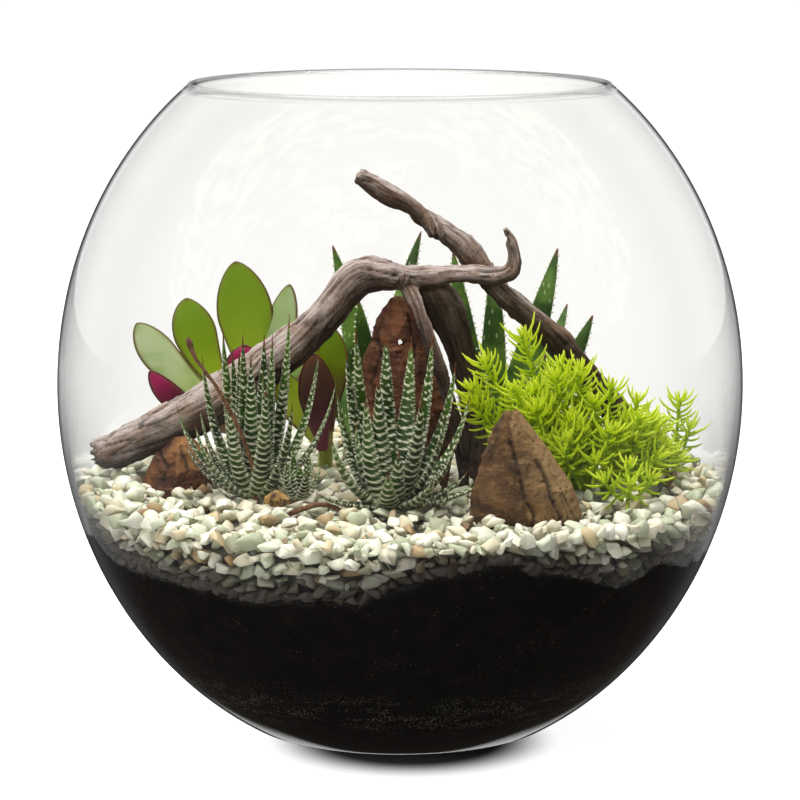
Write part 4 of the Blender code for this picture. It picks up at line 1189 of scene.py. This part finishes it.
rocks()

# %% [markdown]
# ## Zebra haworthias
# Stiff dark leaves in a rosette, each keeled underneath and drawn out to a dry point. The white bands
# on the outer face are raised ridges of small warts, so they are made as ridges in the mesh, and the
# same number that raises them also whitens them.

# %% Zebra haworthias
LEFT_TIPS = (
    (-93, -27, 130), (-97, -20, 145), (-86, -15, 165), (-77, -12, 176), (-68, -20, 175), (-59, -13, 174),
    (-48, -12, 183), (-35, -15, 168), (-27, -24, 158), (-73, -40, 152), (-57, -43, 156), (-88, -38, 140),
    (-46, -38, 148), (-64, -30, 168),
)  # fmt: skip
MIDDLE_TIPS = (
    (-52, -39, 124), (-46, -37, 129), (-39, -37, 128), (-34, -42, 123), (-40, -51, 121), (-49, -49, 121),
)  # fmt: skip
RIGHT_TIPS = (
    (-23, -36, 172), (-19, -30, 179), (-6, -28, 177), (5, -26, 175), (14, -32, 177), (9, -70, 155),
    (30, -38, 152), (29, -54, 122), (-29, -62, 138), (-5, -74, 124), (-35, -64, 114), (14, -72, 121),
    (24, -28, 164), (-9, -60, 163), (-27, -40, 155), (19, -56, 146), (39, -58, 121),
)  # fmt: skip
LEAF_SIDES = 16


def even_steps(points, spacing):
    """The same curve with points at an even spacing."""
    lengths = np.concatenate([[0], np.cumsum(np.linalg.norm(np.diff(points, axis=0), axis=1))])
    count = max(6, int(lengths[-1] / spacing))
    at = np.linspace(0, lengths[-1], count)
    return np.stack([np.interp(at, lengths, points[:, i]) for i in range(3)], 1), at


def banded_leaf(heap, root, knee, tip, width, pitch, seed):
    """A keeled leaf with raised bands, broader outside than inside, and small warts along its edges."""
    points, along = even_steps(arc(root, knee, tip, 200), pitch / 6.5)
    t = along / along[-1]
    out = np.array(tip) - np.array(root)
    across, over = carried(points, (-out[1], out[0], 0.001))
    angle = math.tau * np.arange(LEAF_SIDES) / LEAF_SIDES
    ones = np.ones((len(points), 1))
    a, rise = np.cos(angle)[None, :] * ones, np.sin(angle)[None, :] * ones
    b = np.where(rise > 0, 0.25 + 0.75 * np.abs(rise) ** 1.1, 0.25 - 0.5 * np.abs(rise))
    half = np.maximum(width / 2 * (1 - t**1.7), 0.22 * MM)[:, None]
    thick = half * 0.55
    spots = [[(s / pitch, c, r) for c, r in zip(a[0], rise[0])] for s in along]
    wobble, beads = (
        np.array([[noise.noise((x * s, y * c + seed * 5, seed + r)) for s, c, r in row] for row in spots])
        for x, y in ((0.8, 1.5), (2.2, 5.0))
    )
    phase = (along[:, None] + 0.55 * pitch * (1 - a**2)) / pitch + 0.22 * wobble + seed
    wave = np.cos(math.tau * phase)
    outside = np.clip((rise + 0.15) * 5, 0, 1)
    fade = 0.15 + 0.7 * t[:, None] ** 1.5 + 0.7 * (1 - outside)
    least = 0.55 + 0.2 * (1 - outside)
    band = np.clip((wave - least + beads * fade * 1.2) * 4.5, 0, 1)
    band = band * np.clip(t[:, None] * 12, 0, 1) * np.clip((1 - t[:, None]) * 7, 0, 1)
    warts = np.clip(np.cos(math.tau * (along[:, None] / (pitch * 0.45) + seed)) * 1.5 - 0.3, 0, 1)
    edge = np.clip((np.abs(a) - 0.9) / 0.05, 0, 1) * warts * np.clip((1 - t[:, None]) * 7, 0, 1)
    band = np.maximum(band, edge)
    reach = 1 + band * np.minimum(0.4 * MM / half, 0.3)
    outline = np.stack([a * half * reach, b * thick * reach], -1)
    form = sweep(points, across, over, outline)
    heap.add(*form, band=band.ravel(), along=np.repeat(t, LEAF_SIDES), leaf=seed % 1)


def banded_skin():
    """Dark waxy green, off-white warts, paler at the foot and dry brown at the very tip."""
    leaf = new_finish("Banded leaf")
    along = leaf.mark("along")
    shade = leaf.cloud(leaf.place(), 90, 3)
    green = leaf.mix(shade.between(0.35, 0.7), "0f2205", "2a4a0e")
    band = leaf.mark("band")
    base = leaf.coats(
        green,
        ((0.25 - along).between(0, 0.25) * 0.7, "53661e"),
        (along.between(0.4, 0.95) * leaf.mark("leaf") * 0.8, "55761a"),
        (band, "dcdabd"),
        (along.between(0.90, 0.95), "6e3a22"),
    )
    bump = leaf.bump(leaf.cloud(leaf.place(), 1500, 2), 0.15 * MM, 0.4)
    return leaf.show(leaf.surface(base, 0.36 + 0.25 * band, Normal=bump, Specular_IOR_Level=0.3))


def more_tips(heel, tips, count, seed):
    """Extra tips between the given ones, a little shorter."""
    chance = random.Random(seed)
    heel = np.array(heel)
    found = []
    for _ in range(count):
        a, b = (np.array(tip) - heel for tip in chance.sample(tips, 2))
        share = chance.uniform(0.2, 0.8)
        found.append(heel + (a * share + b * (1 - share)) * chance.uniform(0.85, 1.0))
    return found


def haworthia(name, heel, tips, width, core, pitch, finish, extra):
    heap = Heap()
    tips = list(tips) + more_tips(heel, tips, extra, len(tips))
    heel = Vector(heel) * MM
    for number, row in enumerate(tips):
        tip = Vector(row) * MM
        out = tip - heel
        flat = Vector((out.x, out.y, 0))
        root = heel + flat.normalized() * min(core * MM * 0.45, flat.length * 0.3) + Vector((0, 0, 0.5 * MM))
        knee = heel + flat * 0.80 + Vector((0, 0, out.z * 0.30))
        banded_leaf(heap, root, knee, tip, width * MM, pitch * MM, number * 0.618)
    heap.piece(name + "_leaves", finish, "banded_green", [name])


banded_finish = banded_skin()
haworthia("haworthia_left", (-63, -27, 106), LEFT_TIPS, 9.0, 7, 2.7, banded_finish, 6)
haworthia("haworthia_middle", (-43, -43, 108), MIDDLE_TIPS, 6, 3.5, 1.6, banded_finish, 4)
haworthia("haworthia_right", (-5, -48, 106), RIGHT_TIPS, 11.0, 8, 3.1, banded_finish, 4)

# %% [markdown]
# ## Paddle plants
# Thick round-ended leaves that glow where light comes through them, with a thin red edge. A thin
# leaf lit from behind needs a share of translucent shader; the rest is a waxy skin.

# %% Paddle plants
PADDLE_SHAPE = ((0.0, 0.30), (0.16, 0.42), (0.38, 0.76), (0.62, 1.0), (0.82, 0.90), (0.94, 0.56), (1.0, 0.16))
PADDLE_THICKNESS = 3.2 * MM
LEFT_STEM = ((-74, 46, 92, 4), (-74, 46, 115, 3.6), (-73, 46, 140, 3.0))
RIGHT_STEM = ((-34, 44, 92, 4), (-34, 44, 108, 3.4), (-33, 43, 128, 2.8))
LEFT_PADDLES = (
    ((-78, 44, 130), (-119, 40, 172), 17, (-12, 0, 2), 0.45, 0.05, 0.02),
    ((-77, 46, 134), (-97, 50, 182), 20, (-8, 0, 4), 0.2, 0.38, 0.30),
    ((-65, 48, 134), (-75, 56, 198), 26, (2, 4, 0), -0.1, 0.40, 0.32),
    ((-68, 47, 132), (-50, 52, 188), 17, (5, 0, -2), -0.5, 0.20, 0.12),
    ((-78, 42, 124), (-113, 34, 151), 11, (-8, 0, -4), 0.35, 0.60, 0.95),
    ((-72, 40, 136), (-69, 27, 164), 17, (0, -6, 0), 0.0, 0.75, 1.0),
    ((-76, 42, 122), (-101, 30, 140), 12, (-6, 0, -3), 0.3, 0.62, 0.72),
    ((-66, 50, 128), (-48, 74, 160), 18, (4, 6, -2), 0.0, 0.30, 0.25),
    ((-78, 52, 128), (-98, 76, 158), 18, (-5, 6, -2), 0.0, 0.30, 0.2),
)
RIGHT_PADDLES = (
    ((-33, 42, 122), (-33, 34, 173), 20, (0, -3, 0), 0.1, 0.62, 0.30),
    ((-35, 40, 114), (-39, 28, 160), 17, (0, -5, -2), 0.2, 0.85, 0.66),
    ((-33, 46, 118), (-38, 64, 152), 16, (0, 3, -2), -0.2, 0.45, 0.35),
    ((-37, 43, 116), (-54, 52, 148), 15, (-3, 3, -2), 0.0, 0.5, 0.40),
)
PADDLE_SIDES = 24
PADDLE_STEPS = 48
WIDEST = 0.62


def paddle(heap, foot, tip, width, knee, turn, foot_tint, tip_tint):
    """A leaf that widens to two thirds of its length and ends round."""
    foot, tip = Vector(foot) * MM, Vector(tip) * MM
    middle = (foot + tip) / 2 + Vector(knee) * MM
    t = 1 - (1 - np.linspace(0, 0.999, PADDLE_STEPS)) ** 1.7
    points = arc(foot, middle, tip, 600)[np.round(t * 599).astype(int)]
    smooth = smooth_rows(PADDLE_SHAPE, 200)
    share = np.interp(t, smooth[:, 0], smooth[:, 1])
    round_end = (1 - ((t - WIDEST) / (1 - WIDEST)) ** 2) ** 0.68
    share = np.where(t > WIDEST, round_end, share)
    heading = (tip - foot).normalized()
    side = (Vector((1, 0, 0)) - heading * heading.x).normalized()
    side.rotate(Matrix.Rotation(turn, 3, heading))
    across, over = carried(points, side)
    angle = math.tau * np.arange(PADDLE_SIDES) / PADDLE_SIDES
    half = (width * MM * share / 2)[:, None]
    thick = np.minimum((PADDLE_THICKNESS * (0.55 + 0.45 * share) / 2)[:, None], half)
    bend = 0.12 * half * np.cos(angle)[None, :] ** 2
    outline = np.stack([half * np.cos(angle), thick * np.sin(angle) + bend], -1)
    off_side = half * (1 - np.abs(np.cos(angle)))[None, :]
    off_end = ((1 - t) * (tip - foot).length)[:, None] * np.ones(PADDLE_SIDES)
    off = np.minimum(off_side * 1.5, off_end)
    edge = np.clip(1.25 - off / (1.9 * MM), 0, 1) * np.clip(t * 5 - 0.5, 0, 1)[:, None]
    tint = np.repeat(foot_tint + (tip_tint - foot_tint) * np.clip(t * 1.5 - 0.3, 0, 1), PADDLE_SIDES)
    form = sweep(points, across, over, outline)
    heap.add(*form, edge=edge.ravel(), along=np.repeat(t, PADDLE_SIDES), tint=tint)


def paddle_skin():
    """Tints from grey green, through leaf and yellow green, to maroon and magenta."""
    skin = new_finish("Paddle leaf")
    mottle = skin.cloud(skin.place(), 90, 4)
    fine = skin.cloud(skin.place(), 900, 2)
    along = skin.mark("along")
    tint = skin.mark("tint")
    body = skin.ramp(
        tint + 0.10 * mottle - 0.05, (0.0, "d0dab4"), (0.18, "8aa662"), (0.32, "6c8f10"), (0.42, "98ad1c"),
        (0.62, "7a5a3c"), (0.78, "5c2234"), (0.9, "8c1446"), (1.0, "c01a68"),
    )  # fmt: skip
    green = (0.5 - tint).between(0.0, 0.15)
    margin = skin.mark("edge")
    base = skin.coats(
        body,
        ((0.55 - along).between(0.0, 0.4) * green * 0.5, "b6cf2c"),
        (mottle.between(0.5, 0.75) * green * 0.35, "5d8a1c"),
        (margin.between(0.0, 0.5) * 0.45, "8a5a34"),
        (margin.between(0.35, 0.85) * 0.95, "4e1820"),
    )
    wax = skin.surface(base, 0.38, Normal=skin.bump(mottle + fine * 0.1, 0.3 * MM, 0.3))
    glow = skin.add("BsdfTranslucent", None, {"Color": (0.53, 0.63, 0.03, 1)})
    return skin.show(skin.join((0.55 - tint).between(0.0, 0.2) * 0.32, wax, glow))


def paddle_plant(name, stem, leaves, finish):
    heap = Heap()
    heap.add(*sweep(*limb(stem, 8, 3.0, 6, 1.0, 0.02)), edge=0, along=0, tint=0.5)
    for leaf in leaves:
        paddle(heap, *leaf)
    heap.piece(name + "_leaves", finish, "paddle_green", [name])


paddle_finish = paddle_skin()
paddle_plant("paddle_plant_left", LEFT_STEM, LEFT_PADDLES, paddle_finish)
paddle_plant("paddle_plant_right", RIGHT_STEM, RIGHT_PADDLES, paddle_finish)

# %% [markdown]
# ## Aloes
# Upright leaves at the back with soft pale teeth along both edges and pale dashes on the skin. The
# teeth are little cones set into the edge, one after another.

# %% Aloes
ALOE_LEFT_LEAVES = (
    ((-14, 58, 112), (-31, 58, 206), 14, (4, -2, 4)),
    ((-10, 60, 112), (10, 62, 212), 13, (-4, 2, 4)),
    ((-14, 56, 110), (-19, 44, 183), 14, (2, -2, 2)),
    ((-16, 62, 110), (-40, 84, 172), 12, (-4, 2, -8)),
    ((-10, 64, 110), (6, 92, 168), 12, (2, 4, -8)),
)
ALOE_RIGHT_LEAVES = (
    ((38, 58, 112), (24, 56, 204), 14, (-2, -2, 2)),
    ((40, 58, 112), (42, 60, 198), 14, (4, 2, 0)),
    ((44, 58, 112), (72, 56, 205), 15, (2, 0, -6)),
    ((46, 56, 110), (88, 50, 175), 14, (6, 0, -8)),
    ((44, 54, 110), (66, 44, 158), 12, (6, -2, -6)),
    ((38, 54, 110), (32, 40, 165), 14, (0, -4, 0)),
    ((46, 62, 110), (78, 82, 176), 12, (4, 4, -8)),
    ((38, 62, 110), (26, 90, 172), 12, (-2, 4, -8)),
)
ALOE_STEP = 1.1 * MM
TOOTH_SPACING = 3.6 * MM


def tooth(heap, foot, along, outward, size):
    """A little hooked cone."""
    tip = foot + outward * size + along * size * 0.35
    square = np.cross(along, outward)
    corners = ((1, 0), (0, 0.6), (-1, 0), (0, -0.6))
    ring = [foot + (along * x + square * y) * size * 0.8 - outward * size * 0.25 for x, y in corners]
    points = np.array([*ring, tip])
    heap.add(points, [[0, 1, 4], [1, 2, 4], [2, 3, 4], [3, 0, 4], [3, 2, 1, 0]], tooth=1.0, along=0.5)


def aloe_leaf(heap, foot, tip, width, knee):
    foot, tip = np.array(foot) * MM, np.array(tip) * MM
    middle = (foot + tip) / 2 + np.array(knee) * MM
    points, along = even_steps(arc(foot, middle, tip, 300), ALOE_STEP)
    points, along = points[:-1], along[:-1]
    t = along / (along[-1] + ALOE_STEP)
    out = tip - foot
    across, over = carried(points, (1, -0.3 if out[0] > 0 else 0.3, 0))
    angle = math.tau * np.arange(LEAF_SIDES) / LEAF_SIDES
    half = (width * MM / 2 * (1 - t**2.6) ** 0.9)[:, None]
    thick = half * 0.42
    outline = np.stack([half * np.cos(angle), thick * (0.35 + 0.62 * np.sin(angle))], -1)
    heap.add(*sweep(points, across, over, outline), tooth=0.0, along=np.repeat(t, LEAF_SIDES))
    for side in (-1, 1):
        place = TOOTH_SPACING * (1.5 if side > 0 else 2.0)
        while place < along[-1] * 0.96:
            i = int(np.searchsorted(along, place))
            heading = points[min(i + 1, len(points) - 1)] - points[i - 1]
            heading = heading / np.linalg.norm(heading)
            outward = across[i] * side
            foot_at = points[i] + outward * half[i, 0] * 0.97 + over[i] * thick[i, 0] * 0.35
            tooth(heap, foot_at, heading, outward, 1.7 * MM * (0.55 + 0.45 * (1 - t[i])))
            place += TOOTH_SPACING * (0.9 + 0.2 * math.sin(place / MM))


def aloe_skin():
    skin = new_finish("Aloe leaf")
    place = skin.stretched(skin.place(), (1, 1, 0.42))
    dashes = (0.24 - skin.cells(place, 420)).between(0.0, 0.10)
    patch = skin.cloud(skin.place(), 60, 3)
    green = skin.mix(patch.between(0.35, 0.7), "2a4a17", "648733")
    base = skin.coats(
        green,
        (dashes * 0.6, "b4c290"),
        (skin.mark("tooth") * 0.9, "d8d6b4"),
        (skin.mark("along").between(0.93, 0.98), "6a4028"),
    )
    bump = skin.bump(dashes + skin.cloud(skin.place(), 900, 2), 0.25 * MM, 0.5)
    return skin.show(skin.surface(base, 0.42, Normal=bump))


def aloe(name, leaves, finish):
    heap = Heap()
    for leaf in leaves:
        aloe_leaf(heap, *leaf)
    heap.piece(name + "_leaves", finish, "aloe_green", [name])


aloe_finish = aloe_skin()
aloe("aloe_left", ALOE_LEFT_LEAVES, aloe_finish)
aloe("aloe_right", ALOE_RIGHT_LEAVES, aloe_finish)

# %% [markdown]
# ## Sedum
# A mound of lime green stems, each ringed with plump needles that curve upwards. The needles follow
# the golden angle round the stem, as real ones do, and get shorter and more upright towards the bud.

# %% Sedum
MOUND_TIPS = (
    (54, -6, 172), (37, -16, 162), (79, -4, 157), (104, -6, 143), (31, -24, 146), (44, -32, 122),
    (68, -20, 156), (92, -12, 150), (115, 2, 132), (123, -4, 117), (112, -24, 122), (90, -30, 134),
    (58, -32, 144), (46, -16, 134), (104, -22, 138), (70, -38, 126),
)  # fmt: skip
FRONT_TIPS = ((86, -62, 119), (97, -66, 118), (107, -58, 119), (97, -55, 124))
APART_TIPS = ((125, 20, 139), (129, 14, 128))
GOLDEN_TURN = math.pi * (3 - math.sqrt(5))
STEM_RADIUS = 0.8 * MM
STEM_SIDES = 6
NEEDLE_SPACING = 1.15 * MM
NEEDLE_WIDTH = 1.45 * MM
NEEDLE_SIDES = 5
NEEDLE_SHARES = ((0.0, 0.55), (0.12, 0.9), (0.35, 1.0), (0.62, 0.92), (0.85, 0.62), (1.0, 0.16))


def needle(heap, foot, outward, along, lean, length, width, youth):
    """A plump needle that leaves the stem sideways and curves up."""
    knee = foot + (outward * 0.62 + along * lean * 0.2) * length
    tip = foot + (outward * 0.86 + along * (0.12 + lean * 0.75)) * length
    t = np.array([share for share, _ in NEEDLE_SHARES])
    shares = np.array([share for _, share in NEEDLE_SHARES])
    points = foot * ((1 - t) ** 2)[:, None] + knee * (2 * t * (1 - t))[:, None] + tip * (t * t)[:, None]
    across, over = carried(points, np.cross(outward, along))
    angle = math.tau * np.arange(NEEDLE_SIDES) / NEEDLE_SIDES
    half = (width / 2 * shares)[:, None]
    outline = np.stack([half * np.cos(angle), half * 0.8 * np.sin(angle)], -1)
    heap.add(*sweep(points, across, over, outline), youth=youth, reach=np.repeat(t, NEEDLE_SIDES))


def sprig(heap, root, knee, tip, bare, chance, size):
    points, along = even_steps(arc(root, knee, tip, 100), 1.5 * MM)
    across, over = carried(points, (-(tip - root)[1], (tip - root)[0], 0.001))
    angle = math.tau * np.arange(STEM_SIDES) / STEM_SIDES
    ring = np.stack([np.cos(angle), np.sin(angle)], -1) * STEM_RADIUS
    heap.add(*sweep(points, across, over, ring * np.ones((len(points), 1, 1))), youth=0.2, reach=0.0)
    place = along[-1] * bare
    number = chance.randrange(8)
    while place < along[-1]:
        share = place / along[-1]
        i = min(int(np.searchsorted(along, place)), len(points) - 1)
        heading = points[i] - points[max(i - 1, 0)]
        heading = heading / np.linalg.norm(heading)
        turn = number * GOLDEN_TURN
        outward = across[i] * math.cos(turn) + over[i] * math.sin(turn)
        length = size * (9.6 - 1.2 * share**5) * chance.uniform(0.8, 1.15) * MM
        youth = min(1.0, max(0.0, share * 1.7 - 0.75 + chance.uniform(-0.15, 0.15)))
        lean = 0.28 + 0.85 * share**4 + chance.uniform(-0.12, 0.12)
        needle(heap, points[i] + outward * 0.5 * MM, outward, heading, lean, length, NEEDLE_WIDTH, youth)
        place += NEEDLE_SPACING * (1.0 - 0.5 * share**2)
        number += 1
    for k in range(5):
        turn = k * math.tau / 5 + 0.4
        outward = across[-1] * math.cos(turn) + over[-1] * math.sin(turn)
        needle(heap, points[-1], outward * 0.5, heading, 1.1, 5.5 * MM * size, NEEDLE_WIDTH * 0.9, 1.0)


def lime_skin():
    skin = new_finish("Lime needle")
    youth = skin.mark("youth")
    reach = skin.mark("reach")
    old = skin.mix(reach, "8fac14", "bcd21e")
    young = skin.mix(reach, "c9de22", "eef04a")
    base = skin.mix(youth, old, young)
    mottle = skin.cloud(skin.place(), 300, 2)
    base = skin.mix(mottle.between(0.5, 0.8) * 0.4, base, "d3dd38")
    wax = skin.surface(base, 0.4)
    glow = skin.add("BsdfTranslucent", None, {"Color": (0.80, 0.92, 0.03, 1)})
    return skin.show(skin.join(0.48, wax, glow))


def sedum_stems(heap, heel, tips, plug, bare, chance, size=1.0):
    heel = np.array(heel) * MM
    for row in tips:
        tip = np.array(row) * MM
        out = tip - heel
        flat = np.array([out[0], out[1], 0])
        inward = min(1.0, plug * MM * 0.6 / max(np.linalg.norm(flat), 1e-6))
        root = heel + flat * inward + np.array([0, 0, MM])
        knee = heel + out * (0.72, 0.72, 0.48)
        sprig(heap, root, knee, tip, bare, chance, size)


def between_tips(tips, count, chance):
    """More stems among the given ones, a little shorter."""
    found = []
    for _ in range(count):
        a, b = chance.sample(tips, 2)
        share = chance.uniform(0.3, 0.7)
        mix = [x * share + y * (1 - share) + chance.uniform(-4, 4) for x, y in zip(a, b)]
        found.append((mix[0], mix[1], 108 + (mix[2] - 108) * chance.uniform(0.72, 1.0)))
    return found


def sedums():
    finish = lime_skin()
    chance = random.Random(31)
    heap = Heap()
    sedum_stems(heap, (84, -12, 105), MOUND_TIPS, 8, 0.35, chance)
    sedum_stems(heap, (84, -12, 105), between_tips(MOUND_TIPS, 44, chance), 8, 0.5, chance, 0.9)
    heap.piece("sedum_mound_needles", finish, "lime_green", ["sedum_mound"])
    heap = Heap()
    sedum_stems(heap, (96, -54, 108), FRONT_TIPS, 3.5, 0.15, chance, 0.85)
    heap.piece("sedum_front_needles", finish, "lime_green", ["sedum_front"])
    heap = Heap()
    sedum_stems(heap, (121, 17, 106), APART_TIPS, 3, 0.3, chance)
    heap.piece("sedum_right_needles", finish, "lime_green", ["sedum_right"])


sedums()

# %% [markdown]
# ## Dry bits
# A dried flower stalk stands beside the left haworthia, and a twig and a seed husk lie on the pebbles.
# All three are limbs again, with their skin pushed about a little.

# %% Dry bits
STALK = (
    (-62, -31, 101, 1.1), (-63, -36, 118, 1.0), (-68, -43, 136, 0.9), (-77, -47, 155, 0.8),
    (-86, -48, 168, 0.8), (-89, -47, 175, 1.4), (-90, -47, 177.5, 0.8),
)  # fmt: skip
TWIG = (
    (-50, -57, 102, 1.2), (-42, -59, 106, 1.2), (-34, -59, 108, 1.1), (-27, -57, 106, 1.0),
    (-22, -55, 102, 0.9),
)  # fmt: skip
POD = (
    (-57, -62, 109.5, 0.8), (-55, -62.5, 110.5, 2.6), (-51.5, -63, 110.8, 3.4), (-48, -63, 110.5, 2.4),
    (-46, -63, 110, 0.7),
)  # fmt: skip


def dry_bark():
    bark = new_finish("Dry bark")
    ridges = bark.cloud(bark.stretched(bark.place(), (1, 1, 0.3)), 900, 3)
    base = bark.mix(ridges.between(0.3, 0.7), "4a2c1c", "8a5f3e")
    return bark.show(bark.surface(base, 0.8, Normal=bark.bump(ridges, 0.3 * MM)))


def dry_husk():
    husk = new_finish("Dry husk")
    ridges = husk.cloud(husk.place(), 420, 4, 0.6)
    base = husk.mix(ridges.between(0.35, 0.65), "4a3014", "b08a4a")
    return husk.show(husk.surface(base, 0.6, Normal=husk.bump(ridges, 0.5 * MM)))


def dry_bit(name, form, lump, seed, push, finish, replaces):
    """A limb whose skin is pushed about by lumps of the given width."""
    corners, faces = sweep(*form)
    heap = Heap()
    heap.add(corners + wrinkle_vectors(corners, lump, seed) * push, faces)
    heap.piece(name, finish, "dry_brown", replaces)


bark_finish = dry_bark()
for name, rows, steps in (("flower_stalk", STALK, 10), ("twig", TWIG, 8)):
    form = limb(rows, 5, 7.0, steps, 1.0, 0.05, 5)
    dry_bit(name + "_bark", form, 1.6 * MM, 2.0, 0.22 * MM, bark_finish, [name])
dry_bit("seed_pod", limb(POD, 7, 3.0, 9, 0.8, 0.12, 4), 2.4 * MM, 5.0, 0.7 * MM, dry_husk(), ())

# %% Measure and finish
low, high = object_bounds()
for kind, box in (("CAD", cad_high - cad_low), ("visual", high - low)):
    print(kind, "box", [round(x / MM, 1) for x in box], "mm")
